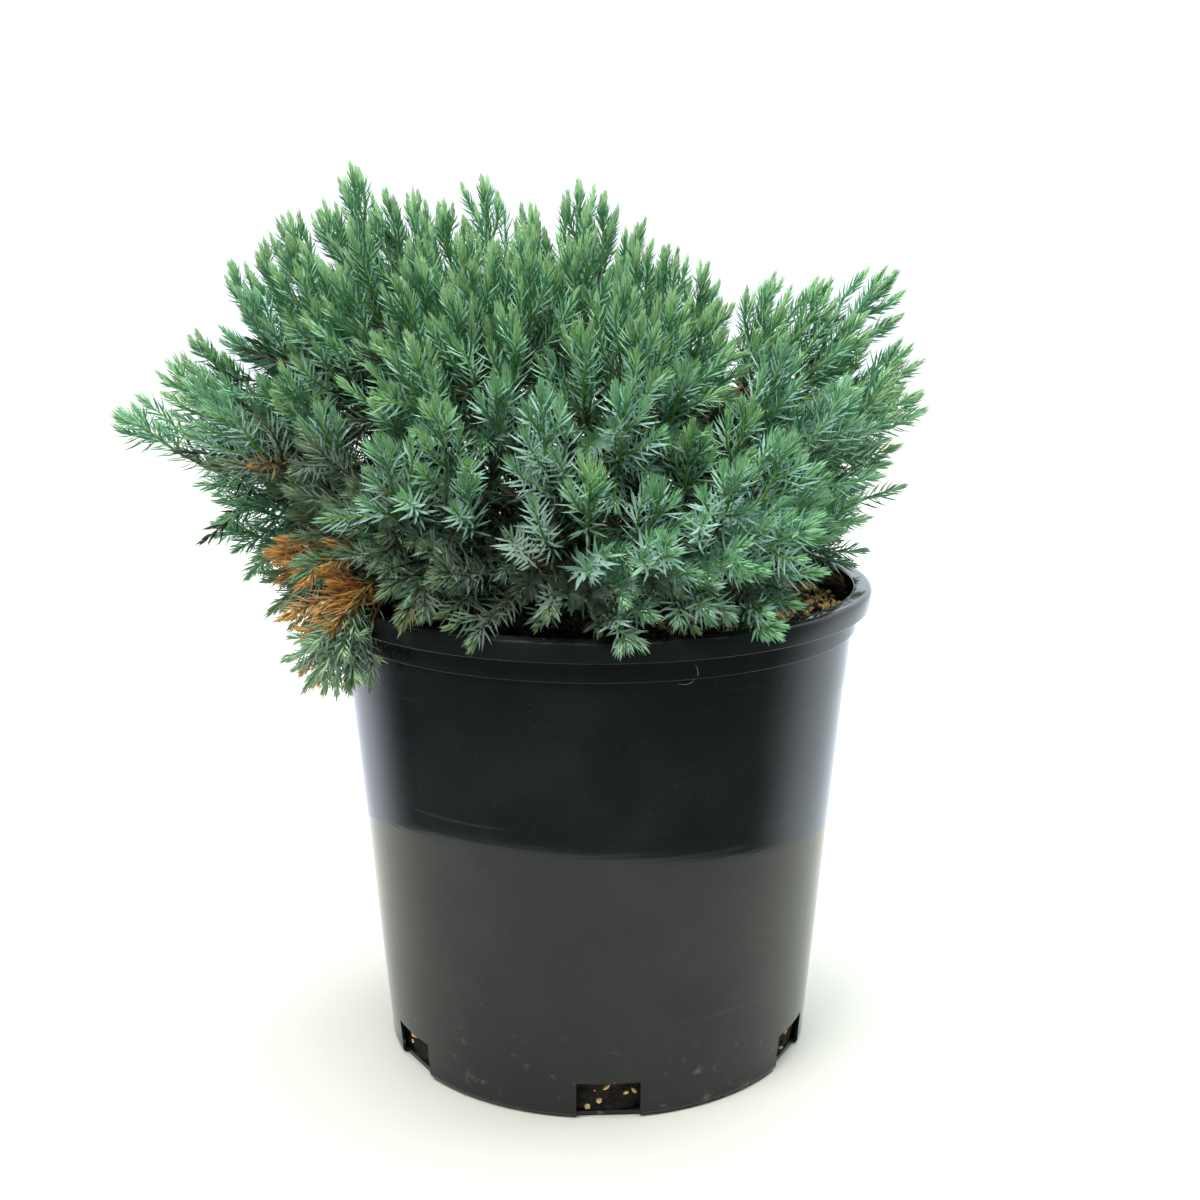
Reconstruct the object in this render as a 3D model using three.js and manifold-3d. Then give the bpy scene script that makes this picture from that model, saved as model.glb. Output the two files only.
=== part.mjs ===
// A blue star juniper in its nursery container: a low, dense conifer with a short stem, boughs that
// fan out over the rim, and a mass of needled shoots on each bough. Millimetres, +Z up, with the
// origin in the middle of the container's flat underside.
import * as THREE from "three";
import { mergeVertices } from "three/addons/utils/BufferGeometryUtils.js";
import Module from "manifold-3d";

const wasm = await Module();
wasm.setup();

// ---------- driving dimensions ----------

const { clamp, degToRad, lerp, mapLinear, radToDeg } = THREE.MathUtils;
const GAP = 0.3; // between solids that touch
const WELD = 1e-4; // corners nearer than this are one
const STEEP = 0.8; // the rise of a direction, as a share of its length, that counts as upright

// container
const POT_HEIGHT = 244;
const LIP_RADIUS = 140;
const LIP_HEIGHT = 10;
const LIP_ROUND = 1.4;
const LIP_FLAT = 4; // from the lip's outer edge in to its flat top
const MOUTH_RADIUS = 130.5;
const BAND_RADIUS = 132.9;
const BAND_HEIGHT = 10.5;
const BAND_PROUD = 2.4; // how far the band stands out from the wall below it
const LEDGE_HEIGHT = 197; // the faint ring where stacked containers sit on each other
const LEDGE_STEP = 0.5;
const HEEL_RADIUS = 111.5;
const HEEL_ROUND = 3;
const WALL = 1.8;
const FLOOR = 2.2;
const POT_SIDES = 40;

// drainage slots round the heel
const SLOTS = 6;
const SLOT_WIDTH = 31;
const SLOT_HEIGHT = 19;
const SLOT_DEPTH = 4; // into the floor from the heel
const SLOT_CUTTER = 30;
const FIRST_SLOT = degToRad(-87.3);

// potting mix
const SOIL_EDGE = 230;
const SOIL_CROWN = 233;
const SOIL_CROWN_RADIUS = 40;

// stem and boughs
const STEM_FOOT = new THREE.Vector3(-4, 1, SOIL_CROWN + GAP);
const STEM_TOP = new THREE.Vector3(-14, 3, 282);
const STEM_TAPER = [
  { share: -0.06, radius: 12 },
  { share: 0.14, radius: 9 },
  { share: 0.4, radius: 8 },
  { share: 1, radius: 5 },
];
const STEM_SIDES = 10;
const LOWEST_BOUGH = 0.2; // as a share of the stem's height
const BOUGH_ROOT_RADIUS = 3.2;
const BOUGH_TIP_RADIUS = 1.9;
const BOUGH_SAG = 0.1; // as a share of the bough's length
const BOUGH_SHARE = 0.36; // of the way from the heart of the crown to a mass's furthest tip
const BOUGH_STEPS = 3;
const LIMB_SIDES = 5;

// The masses of foliage. The azimuth and rise, in degrees, are those of a mass seen from the heart
// of the crown, and its reach is how far the crown goes that way. Its shoots hang lower by its droop,
// and the lift is how much they turn up at their ends.
const HEART = new THREE.Vector3(-12, 2, 256);
const MASSES = [
  { name: "top_left", azimuth: 176, rise: 62, reach: 221, droop: 0, lift: 2 },
  { name: "top", azimuth: 100, rise: 84, reach: 188, droop: 0, lift: 1.4 },
  { name: "top_right", azimuth: -10, rise: 66, reach: 170, droop: 0, lift: 0.9 },
  { name: "right_upper", azimuth: 7, rise: 44, reach: 211, droop: 0, lift: 0.35 },
  { name: "right", azimuth: -4, rise: 24, reach: 196, droop: 0, lift: 0.25 },
  { name: "left_upper", azimuth: 178, rise: 42, reach: 230, droop: 0, lift: 1.7 },
  { name: "left", azimuth: -178, rise: 21, reach: 242, droop: 0, lift: 0.5 },
  { name: "left_lower", azimuth: -161, rise: 4, reach: 166, droop: 0, lift: 0 },
  { name: "front_left_hanging", azimuth: -135, rise: 0, reach: 166, droop: 28, lift: -0.9 },
  { name: "front_lower", azimuth: -92, rise: 6, reach: 152, droop: 20, lift: -0.2 },
  { name: "front_right_lower", azimuth: -50, rise: 6, reach: 158, droop: 16, lift: -0.1 },
  { name: "front_left", azimuth: -126, rise: 28, reach: 175, droop: 0, lift: 2.2 },
  { name: "front", azimuth: -86, rise: 28, reach: 158, droop: 0, lift: 2 },
  { name: "front_right", azimuth: -44, rise: 28, reach: 162, droop: 0, lift: 1.5 },
  { name: "front_left_upper", azimuth: -128, rise: 57, reach: 183, droop: 0, lift: 2.6 },
  { name: "front_upper", azimuth: -68, rise: 56, reach: 158, droop: 0, lift: 2.2 },
  { name: "back_left_upper", azimuth: 132, rise: 45, reach: 195, droop: 0, lift: 1.4 },
  { name: "back_upper", azimuth: 60, rise: 50, reach: 168, droop: 0, lift: 1.4 },
  { name: "back_left", azimuth: 148, rise: 13, reach: 188, droop: 0, lift: 0.9 },
  { name: "back", azimuth: 100, rise: 18, reach: 160, droop: 0, lift: 0.9 },
  { name: "back_right", azimuth: 46, rise: 17, reach: 165, droop: 0, lift: 0.7 },
];

// The crown's edge seen from the front, over the top from left to right, where some shoots stand
// out: the angle above the left, in degrees, and the reach. Its depth is how far behind the heart
// its top lies, and its shoots stand to and fro of that. Between them the edge dips by a share of
// its reach.
const EDGE = [
  [-18, 147], [-9, 150], [-3, 162], [4, 190], [9, 178], [14, 205], [18, 243], [25, 231],
  [31, 222], [40, 230], [45, 222], [50, 226], [55, 218], [60, 227], [63, 206], [66, 202],
  [70, 190], [76, 197], [83, 178], [91, 188], [95, 183], [101, 170], [107, 164], [115, 162],
  [120, 150], [126, 176], [133, 191], [139, 219], [148, 202], [156, 197], [162, 168], [169, 176],
  [175, 136], [180, 154],
];
const EDGE_DEPTH = 22;
const EDGE_STAGGER = 8;
const EDGE_DIP = 0.05;

// The fringe of sprays over the front of the rim, at these heights above it in turn. It hangs
// lower over the first share of its way, from the left.
const FRINGE_AZIMUTHS = [-150, -52];
const FRINGE_COUNT = 16;
const FRINGE_RADIUS = 156; // from the container's axis
const FRINGE_HEIGHTS = [14, 34, 0, 50];
const FRINGE_HANG = 52;
const FRINGE_HANG_SHARE = 0.35;

// where shoots grow
const SEED = 7;
const CLEARANCE = 0.8; // of foliage from the walls of its mass's space, and from the limbs
const TIP_CLEARANCE = 3;
const SHOOTS_PER_MASS = 6;
const SHOOT_SPACING = 30; // between the tips of a mass's shoots
const SHOOT_SPREAD = degToRad(58);
const SHOOT_TRIES = 90;
const GOLDEN_ANGLE = Math.PI * (3 - Math.sqrt(5));
const TURN_JITTER = 0.5;
const LONGEST = 0.97; // of a mass's shoots that don't stand out, as a share of the reach there
const REACH_JITTER = 0.12;
const BLEND = 45; // how sharply the crown's reach follows the nearest of its known tips
const FAN = 0.3; // how far the shoots of a mass spread from its own middle
const LIFT_CHANGES = [0, -0.25, 0.25, -0.5, 0.5, -0.8, 0.8, -1.2, -1.6, -2, -2.4];
const LINE_CHECKS = [0, 0.2, 0.4, 0.6, 0.8, 1];

// shoots, needles and twigs
const SHOOT_LENGTH = 52;
const SHOOT_RADIUS = 1.7;
const SHOOT_TAPER = 0.35;
const BUD_SHARE = 0.14; // of a shoot's length
const WHORL_STEP = 8.4; // from one ring of three needles to the next
const NEEDLE_LENGTH = 14;
const NEEDLE_SHORTENING = 0.45; // towards the bud
const NEEDLE_SLANTS = [64, 30]; // degrees from the shoot, at its root and at its bud
const TWIG_ROOT_RADIUS = 1.7;
const TWIG_RADIUS = 1.3;
const NEEDLE_SIDES = 3; // of a shoot's and a twig's section, and the needles in a whorl

// the dense middle of a mass
const CORE_SHARE = 0.57; // where it lies along the mass's reach
const CORE_LENGTH = 0.19; // as a share of the reach
const CORE_WIDTH = 38;
const CORE_ROUGHNESS = [0.85, 1.15];
const CORE_CLEARANCE = 3;
const CORE_SHRINK = 0.94;
const CORE_NEEDLE = 16;
const CORE_NEEDLE_LEAN = 0.6; // towards the mass's own direction
const CORE_NEEDLE_ROOM = 12; // between a needle of the core and a shoot
const POT_ROOM = 1; // between the core and the container

// ---------- small helpers ----------

const UP = new THREE.Vector3(0, 0, 1);

const along = (from, direction, distance) => from.clone().addScaledVector(direction, distance);

function heading(azimuth, rise) {
  const [a, r] = [degToRad(azimuth), degToRad(rise)];
  return new THREE.Vector3(Math.cos(r) * Math.cos(a), Math.cos(r) * Math.sin(a), Math.sin(r));
}

// A repeatable run of numbers from 0 to 1.
function seeded(seed) {
  let state = seed >>> 0;
  return () => {
    state = (state + 0x6d2b79f5) >>> 0;
    let t = Math.imul(state ^ (state >>> 15), state | 1);
    t ^= t + Math.imul(t ^ (t >>> 7), t | 61);
    return ((t ^ (t >>> 14)) >>> 0) / 2 ** 32;
  };
}

// Two directions square to t, so that side, lean and t are right-handed.
function across(t) {
  const helper = Math.abs(t.z) < STEEP ? UP : new THREE.Vector3(1, 0, 0);
  const side = new THREE.Vector3().crossVectors(helper, t).normalize();
  return { side, lean: new THREE.Vector3().crossVectors(t, side) };
}

// The direction at an angle round t.
function outwards(t, angle) {
  const { side, lean } = across(t);
  return side.multiplyScalar(Math.cos(angle)).addScaledVector(lean, Math.sin(angle));
}

// A closed three.js geometry as a manifold-3d solid, and back.
function solidOf(geometry) {
  geometry.deleteAttribute("normal");
  geometry.deleteAttribute("uv");
  const merged = mergeVertices(geometry, WELD);
  const mesh = new wasm.Mesh({
    numProp: 3,
    vertProperties: merged.attributes.position.array,
    triVerts: new Uint32Array(merged.index.array),
  });
  return new wasm.Manifold(mesh);
}

function geometryOf(solid) {
  const mesh = solid.getMesh();
  const geometry = new THREE.BufferGeometry();
  geometry.setAttribute("position", new THREE.BufferAttribute(mesh.vertProperties, 3));
  geometry.setIndex(new THREE.BufferAttribute(mesh.triVerts, 1));
  return geometry;
}

// A solid from corner points and triangles.
function polyhedron(points, triangles) {
  const geometry = new THREE.BufferGeometry().setFromPoints(points);
  geometry.setIndex(triangles.flat());
  return solidOf(geometry);
}

// A solid turned round the vertical axis from a profile of [radius, height].
function turned(profile) {
  const points = profile.map(([r, z]) => new THREE.Vector2(r, z));
  return solidOf(new THREE.LatheGeometry(points, POT_SIDES).rotateX(Math.PI / 2));
}

// A ring of corners round a point, square to t.
function ring(centre, t, radius, sides, turn = 0) {
  const corner = (_, i) => along(centre, outwards(t, (2 * Math.PI * i) / sides + turn), radius);
  return Array.from({ length: sides }, corner);
}

// A closed tapering limb through stations of { at, radius }.
function limb(stations, sides) {
  const points = [];
  const triangles = [];
  stations.forEach(({ at, radius }, j) => {
    const before = stations[Math.max(j - 1, 0)].at;
    const after = stations[Math.min(j + 1, stations.length - 1)].at;
    points.push(...ring(at, after.clone().sub(before).normalize(), radius, sides));
  });
  for (let j = 0; j < stations.length - 1; j++) {
    for (let i = 0; i < sides; i++) {
      const a = j * sides + i;
      const b = j * sides + ((i + 1) % sides);
      triangles.push([a, b, b + sides], [a, b + sides, a + sides]);
    }
  }
  const last = (stations.length - 1) * sides;
  for (let i = 1; i < sides - 1; i++) {
    triangles.push([0, i + 1, i], [last, last + i, last + i + 1]);
  }
  return polyhedron(points, triangles);
}

// The largest piece of a solid, without loose scraps.
const largest = (solid) => solid.decompose().reduce((a, b) => (b.volume() > a.volume() ? b : a));

// ---------- container and potting mix ----------

const LIP_FOOT = POT_HEIGHT - LIP_HEIGHT;
const BAND_FOOT = LIP_FOOT - BAND_HEIGHT;

const wallRadius = (z) => mapLinear(z, HEEL_ROUND, BAND_FOOT, HEEL_RADIUS, BAND_RADIUS - BAND_PROUD);

const insideRadius = (z) => wallRadius(z) - WALL;

function makePot() {
  const shell = turned([
    [0, 0],
    [HEEL_RADIUS - HEEL_ROUND, 0],
    [HEEL_RADIUS, HEEL_ROUND],
    [wallRadius(LEDGE_HEIGHT) - LEDGE_STEP / 2, LEDGE_HEIGHT],
    [wallRadius(LEDGE_HEIGHT) + LEDGE_STEP / 2, LEDGE_HEIGHT + LEDGE_STEP],
    [wallRadius(BAND_FOOT), BAND_FOOT],
    [BAND_RADIUS, BAND_FOOT + LIP_ROUND],
    [BAND_RADIUS, LIP_FOOT],
    [LIP_RADIUS - LIP_ROUND, LIP_FOOT],
    [LIP_RADIUS, LIP_FOOT + LIP_HEIGHT / 2],
    [LIP_RADIUS - LIP_ROUND, POT_HEIGHT - LIP_ROUND],
    [LIP_RADIUS - LIP_FLAT, POT_HEIGHT],
    [MOUTH_RADIUS + LIP_ROUND, POT_HEIGHT],
    [MOUTH_RADIUS, POT_HEIGHT - LIP_ROUND],
    [insideRadius(BAND_FOOT), BAND_FOOT],
    [insideRadius(FLOOR), FLOOR],
    [0, FLOOR],
  ]);
  const slots = Array.from({ length: SLOTS }, (_, i) => {
    const box = new THREE.BoxGeometry(SLOT_CUTTER, SLOT_WIDTH, 2 * SLOT_HEIGHT);
    box.translate(HEEL_RADIUS - SLOT_DEPTH + SLOT_CUTTER / 2, 0, 0);
    return solidOf(box.rotateZ(FIRST_SLOT + (2 * Math.PI * i) / SLOTS));
  });
  return shell.subtract(wasm.Manifold.union(slots));
}

const makeSoil = () =>
  turned([
    [0, FLOOR + GAP],
    [insideRadius(FLOOR) - GAP, FLOOR + GAP],
    [insideRadius(BAND_FOOT) - GAP, BAND_FOOT],
    [insideRadius(BAND_FOOT) - GAP, SOIL_EDGE],
    [SOIL_CROWN_RADIUS, SOIL_CROWN],
    [0, SOIL_CROWN],
  ]);

// The container and the mix as one block with a little room round it, to cut lumps clear of them.
const potBlock = turned([
  [0, 0],
  [LIP_RADIUS + POT_ROOM, 0],
  [LIP_RADIUS + POT_ROOM, POT_HEIGHT + POT_ROOM],
  [insideRadius(BAND_FOOT) - POT_ROOM, POT_HEIGHT + POT_ROOM],
  [insideRadius(BAND_FOOT) - POT_ROOM, SOIL_CROWN + POT_ROOM],
  [0, SOIL_CROWN + POT_ROOM],
]);

// ---------- stem and boughs ----------

const stemAxis = new THREE.LineCurve3(STEM_FOOT, STEM_TOP);

const stemStations = (extra) =>
  STEM_TAPER.map(({ share, radius }) => ({
    at: STEM_FOOT.clone().lerp(STEM_TOP, share + (share * extra) / stemAxis.getLength()),
    radius: radius + extra,
  }));

// The stem runs a little below its foot, where it is cut off level.
function makeStem() {
  const height = 2 * stemAxis.getLength();
  const block = new THREE.BoxGeometry(height, height, height).translate(0, 0, STEM_FOOT.z + height / 2);
  return limb(stemStations(0), STEM_SIDES).intersect(solidOf(block));
}

// Each mass's direction and the line of its bough. The lowest boughs leave the stem first.
const masses = MASSES.map((row) => ({ ...row, axis: heading(row.azimuth, row.rise) }));
masses
  .toSorted((a, b) => a.rise - b.rise)
  .forEach((mass, rank) => {
    const root = stemAxis.getPoint(lerp(LOWEST_BOUGH, 1, rank / (masses.length - 1)));
    const tip = along(HEART, mass.axis, mass.reach * BOUGH_SHARE);
    const bend = root.clone().lerp(tip, 0.5);
    bend.z -= BOUGH_SAG * root.distanceTo(tip);
    mass.bough = new THREE.QuadraticBezierCurve3(root, bend, tip);
  });

const boughStations = (curve, extra) =>
  curve.getPoints(BOUGH_STEPS).map((at, j) => ({
    at,
    radius: lerp(BOUGH_ROOT_RADIUS, BOUGH_TIP_RADIUS, j / BOUGH_STEPS) + extra,
  }));

// Each bough is cut clear of the stem and of the boughs made before it, so that it is seated there.
let limbsAndGap = limb(stemStations(GAP), STEM_SIDES);
for (const mass of masses) {
  mass.limb = largest(limb(boughStations(mass.bough, 0), LIMB_SIDES).subtract(limbsAndGap));
  limbsAndGap = limbsAndGap.add(limb(boughStations(mass.bough, GAP), LIMB_SIDES));
}

// The boughs as straight stretches, to keep foliage off them.
const stretches = masses.flatMap((mass) => {
  const stations = boughStations(mass.bough, 0);
  return stations.slice(1).map(({ at, radius }, j) => {
    return { line: new THREE.Line3(stations[j].at, at), radius };
  });
});

// ---------- the space that foliage may fill ----------

const distanceTo = (line, point) =>
  line.closestPointToPoint(point, true, new THREE.Vector3()).distanceTo(point);

const clearOfBoughs = (point, margin) =>
  stretches.every(({ line, radius }) => distanceTo(line, point) > radius + margin);

function clearOfPot(point, margin) {
  const radius = Math.hypot(point.x, point.y);
  if (point.z > POT_HEIGHT + margin || radius > LIP_RADIUS + margin) return true;
  return radius < insideRadius(BAND_FOOT) - margin && point.z > SOIL_CROWN + margin;
}

// A mass's space is the part of the crown whose directions from the heart are nearest to its own.
function inSpace(mass, point, margin) {
  const offset = point.clone().sub(HEART);
  return masses.every((other) => {
    const wall = mass.axis.clone().sub(other.axis);
    return other === mass || offset.dot(wall) > margin * wall.length();
  });
}

const fits = (mass, point, margin) =>
  inSpace(mass, point, margin) && clearOfPot(point, margin) && clearOfBoughs(point, margin);

const lineFits = (mass, line, margin) =>
  LINE_CHECKS.every((share) => fits(mass, line.at(share, new THREE.Vector3()), margin));

// ---------- foliage ----------

// The tips along the crown's edge and the fringe over the rim.
const edgeTips = EDGE.map(([angle, reach], i) => {
  const turn = degToRad(angle);
  const depth = EDGE_DEPTH * Math.sin(turn) + (i % 2 ? EDGE_STAGGER : -EDGE_STAGGER);
  return new THREE.Vector3(-reach * Math.cos(turn), depth, reach * Math.sin(turn)).add(HEART);
});
const fringeTips = Array.from({ length: FRINGE_COUNT }, (_, i) => {
  const share = i / (FRINGE_COUNT - 1);
  const hang = FRINGE_HANG * Math.max(1 - share / FRINGE_HANG_SHARE, 0);
  const tip = heading(lerp(...FRINGE_AZIMUTHS, share), 0).multiplyScalar(FRINGE_RADIUS);
  return tip.setZ(POT_HEIGHT + FRINGE_HEIGHTS[i % FRINGE_HEIGHTS.length] - hang);
});
const knownTips = [...edgeTips, ...fringeTips];

const wayTo = (point) => point.clone().sub(HEART).normalize();

// The reach and the lift in the directions for which they are known.
const massReaches = masses.map(({ axis, reach }) => ({ way: axis, value: reach }));
const tipReaches = knownTips.map((tip) => ({ way: wayTo(tip), value: tip.distanceTo(HEART) }));
const reaches = [...massReaches, ...tipReaches];
const lifts = masses.map(({ axis, lift }) => ({ way: axis, value: lift }));

// A value for any direction, mostly from the nearest of the known ones.
function blend(direction, known) {
  const weights = known.map(({ way }) => Math.exp(BLEND * (way.dot(direction) - 1)));
  const total = weights.reduce((a, b) => a + b);
  return known.reduce((sum, { value }, i) => sum + (value * weights[i]) / total, 0);
}

// How far the edge lets a shoot reach in a direction.
function edgeReach(direction) {
  const turn = radToDeg(Math.atan2(direction.z, -direction.x));
  const angle = clamp(turn < -90 ? turn + 360 : turn, EDGE[0][0], EDGE.at(-1)[0]);
  const next = Math.max(EDGE.findIndex(([end]) => end >= angle), 1);
  const [[start, nearer], [end, further]] = EDGE.slice(next - 1, next + 1);
  const share = (angle - start) / (end - start);
  const reach = lerp(nearer, further, share) * (1 - EDGE_DIP * Math.sin(Math.PI * share));
  return reach / Math.hypot(direction.x, direction.z);
}

const nearestMass = (way) => masses.reduce((a, b) => (b.axis.dot(way) > a.axis.dot(way) ? b : a));

// Where a mass's shoots end: the known tips in its space, then others round it by the golden angle,
// each far enough from those before it.
function shootTips(mass) {
  const random = seeded(SEED * mass.name.length);
  const tips = knownTips.filter((tip) => nearestMass(wayTo(tip)) === mass);
  for (let k = 0; k < SHOOT_TRIES && tips.length < SHOOTS_PER_MASS; k++) {
    const share = Math.sqrt(k / SHOOT_TRIES);
    const direction = mass.axis.clone().multiplyScalar(Math.cos(SHOOT_SPREAD * share));
    const side = outwards(mass.axis, k * GOLDEN_ANGLE + random() * TURN_JITTER);
    direction.addScaledVector(side, Math.sin(SHOOT_SPREAD * share));
    const most = Math.min(blend(direction, reaches), edgeReach(direction));
    const reach = most * (LONGEST - REACH_JITTER * random());
    const tip = along(HEART, direction, reach);
    tip.z -= mass.droop;
    const free = tips.every((other) => other.distanceTo(tip) > SHOOT_SPACING);
    if (free && fits(mass, tip, TIP_CLEARANCE)) tips.push(tip);
  }
  return tips;
}

// The shoots' lines, from a root by the middle of the mass to each tip. Each turns up by the lift
// of the crown there, or by less or more where it would leave the mass's space, or is skipped.
function shootLines(mass, middle) {
  const lines = [];
  for (const tip of shootTips(mass)) {
    const fromMiddle = tip.clone().sub(middle).normalize();
    const outward = wayTo(tip).lerp(fromMiddle, FAN).normalize();
    const lift = blend(wayTo(tip), lifts);
    const length = Math.min(SHOOT_LENGTH, tip.distanceTo(middle));
    for (const change of LIFT_CHANGES) {
      const direction = along(outward, UP, lift + change).normalize();
      const line = new THREE.Line3(along(tip, direction, -length), tip);
      const twig = new THREE.Line3(middle, line.start);
      const clear = lineFits(mass, line, SHOOT_RADIUS + CLEARANCE);
      if (clear && lineFits(mass, twig, TWIG_RADIUS + CLEARANCE)) {
        lines.push(line);
        break;
      }
    }
  }
  return lines;
}

// A shoot: a slim three-sided core that tapers to a bud, with a whorl of three needles drawn out of
// each stretch of it, turned by a sixth from the whorl before. A needle that doesn't fit is left off.
function makeShoot(mass, line, phase) {
  const t = line.delta(new THREE.Vector3()).normalize();
  const length = line.distance() * (1 - BUD_SHARE);
  const whorls = Math.round(length / WHORL_STEP);
  const points = [];
  const triangles = [];
  for (let j = 0; j <= whorls; j++) {
    const share = j / whorls;
    const at = along(line.start, t, length * share);
    const turn = (j * Math.PI) / NEEDLE_SIDES + phase;
    points.push(...ring(at, t, SHOOT_RADIUS * (1 - SHOOT_TAPER * share), NEEDLE_SIDES, turn));
  }
  for (let j = 0; j < whorls; j++) {
    const share = (j + 0.5) / whorls;
    const base = along(line.start, t, length * share);
    const slant = degToRad(lerp(...NEEDLE_SLANTS, share));
    for (let i = 0; i < NEEDLE_SIDES; i++) {
      const a = j * NEEDLE_SIDES + i;
      const b = j * NEEDLE_SIDES + ((i + 1) % NEEDLE_SIDES);
      const [c, d] = [b + NEEDLE_SIDES, a + NEEDLE_SIDES];
      const out = outwards(t, ((2 * i + j + 1.5) * Math.PI) / NEEDLE_SIDES + phase);
      const needle = t.clone().multiplyScalar(Math.cos(slant)).addScaledVector(out, Math.sin(slant));
      const point = along(base, needle, NEEDLE_LENGTH * (1 - NEEDLE_SHORTENING * share ** 2));
      if (lineFits(mass, new THREE.Line3(base, point), CLEARANCE)) {
        const peak = points.push(point) - 1;
        triangles.push([a, b, peak], [b, c, peak], [c, d, peak], [d, a, peak]);
      } else {
        triangles.push([a, b, d], [b, c, d]);
      }
    }
  }
  const last = whorls * NEEDLE_SIDES;
  const bud = points.push(line.end) - 1;
  triangles.push([0, 2, 1], [last, last + 1, bud], [last + 1, last + 2, bud], [last + 2, last, bud]);
  return polyhedron(points, triangles);
}

// The dense middle of a mass: a lump that is drawn in wherever it would leave the mass's space,
// with its outer faces drawn out to needles where those fit.
function makeCore(mass, middle, shoots) {
  const random = seeded(SEED + mass.name.length);
  const lump = new THREE.IcosahedronGeometry(1, 1).deleteAttribute("normal").deleteAttribute("uv");
  const { attributes, index } = mergeVertices(lump);
  const points = [];
  for (let i = 0; i < attributes.position.count; i++) {
    const out = new THREE.Vector3().fromBufferAttribute(attributes.position, i);
    const width = lerp(CORE_WIDTH, mass.reach * CORE_LENGTH, Math.abs(out.dot(mass.axis)));
    let size = width * lerp(...CORE_ROUGHNESS, random());
    while (!fits(mass, along(middle, out, size), CORE_CLEARANCE)) size *= CORE_SHRINK;
    points.push(along(middle, out, size));
  }
  const triangles = [];
  for (let i = 0; i < index.count; i += 3) {
    const [a, b, c] = index.array.slice(i, i + 3);
    const face = new THREE.Triangle(points[a], points[b], points[c]);
    const base = face.getMidpoint(new THREE.Vector3());
    const out = base.clone().sub(middle).normalize();
    out.addScaledVector(mass.axis, CORE_NEEDLE_LEAN).normalize();
    const needle = new THREE.Line3(base, along(base, out, CORE_NEEDLE));
    const free = shoots.every((shoot) => distanceTo(shoot, base) > CORE_NEEDLE_ROOM);
    if (free && out.dot(mass.axis) > 0 && lineFits(mass, needle, CLEARANCE)) {
      const peak = points.push(needle.end) - 1;
      triangles.push([a, b, peak], [b, c, peak], [c, a, peak]);
    } else {
      triangles.push([a, b, c]);
    }
  }
  return polyhedron(points, triangles).subtract(potBlock);
}

function makeMass(mass) {
  const random = seeded(SEED + mass.reach);
  const middle = along(HEART, mass.axis, mass.reach * CORE_SHARE);
  middle.z -= mass.droop * CORE_SHARE ** 2;
  const shoots = shootLines(mass, middle);
  const stem = [
    { at: along(mass.bough.v2, mass.bough.getTangent(1), GAP), radius: BOUGH_TIP_RADIUS },
    { at: middle, radius: TWIG_RADIUS },
  ];
  const pieces = [limb(stem, LIMB_SIDES), makeCore(mass, middle, shoots)];
  for (const line of shoots) {
    const twig = [
      { at: middle, radius: TWIG_ROOT_RADIUS },
      { at: line.start, radius: TWIG_RADIUS },
    ];
    pieces.push(limb(twig, NEEDLE_SIDES), makeShoot(mass, line, random() * Math.PI));
  }
  return largest(wasm.Manifold.union(pieces).subtract(limbsAndGap));
}

// ---------- the assembly ----------

const finish = (color, roughness) =>
  new THREE.MeshStandardMaterial({ color, roughness, metalness: 0, flatShading: true });

const FINISHES = {
  plastic: finish(0x1c2624, 0.38),
  mix: finish(0x4a3524, 0.95),
  bark: finish(0x6b5138, 0.85),
  needles: finish(0x5f9a80, 0.6),
};

const plant = new THREE.Group();

function place(name, solid, material) {
  const mesh = new THREE.Mesh(geometryOf(solid), material);
  mesh.name = name;
  plant.add(mesh);
}

place("pot", makePot(), FINISHES.plastic);
place("soil", makeSoil(), FINISHES.mix);
place("stem", makeStem(), FINISHES.bark);
for (const mass of masses) {
  place("bough_" + mass.name, mass.limb, FINISHES.bark);
  place("foliage_" + mass.name, makeMass(mass), FINISHES.needles);
}

export default plant;
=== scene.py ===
# %% [markdown]
# # A blue star juniper in its nursery container
#
# A low, dense conifer whose boughs fan out over the rim of a black container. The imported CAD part
# gives the frame: where the stem, the boughs and the masses of foliage are, and how far they reach.
# This lesson puts a smooth moulded container, crumbly potting mix, ridged bark and over a hundred
# thousand needles in its place, and lights them as a studio would.

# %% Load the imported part
import math

import bpy
import numpy as np
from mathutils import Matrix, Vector, noise


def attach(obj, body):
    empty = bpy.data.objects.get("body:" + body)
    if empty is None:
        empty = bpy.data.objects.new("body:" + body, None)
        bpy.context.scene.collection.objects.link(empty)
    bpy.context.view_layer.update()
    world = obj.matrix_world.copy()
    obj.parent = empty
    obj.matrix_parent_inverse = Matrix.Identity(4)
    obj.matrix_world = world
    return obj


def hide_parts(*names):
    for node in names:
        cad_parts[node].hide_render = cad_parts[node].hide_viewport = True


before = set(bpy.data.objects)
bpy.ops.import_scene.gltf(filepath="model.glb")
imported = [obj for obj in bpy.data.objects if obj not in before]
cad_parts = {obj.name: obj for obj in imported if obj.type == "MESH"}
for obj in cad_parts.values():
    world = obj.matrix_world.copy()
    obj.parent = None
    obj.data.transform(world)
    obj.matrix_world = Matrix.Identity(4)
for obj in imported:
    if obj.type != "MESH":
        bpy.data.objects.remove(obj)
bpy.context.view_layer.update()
print("nodes in the packed part:", len(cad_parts))

# %% [markdown]
# ## Arithmetic on sockets
#
# A procedural material is a sum of masks and colours. Written node by node it hides what it means,
# so a socket here takes part in ordinary Python arithmetic, and each sign adds one Math node.

# %% Sockets and finishes


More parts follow.
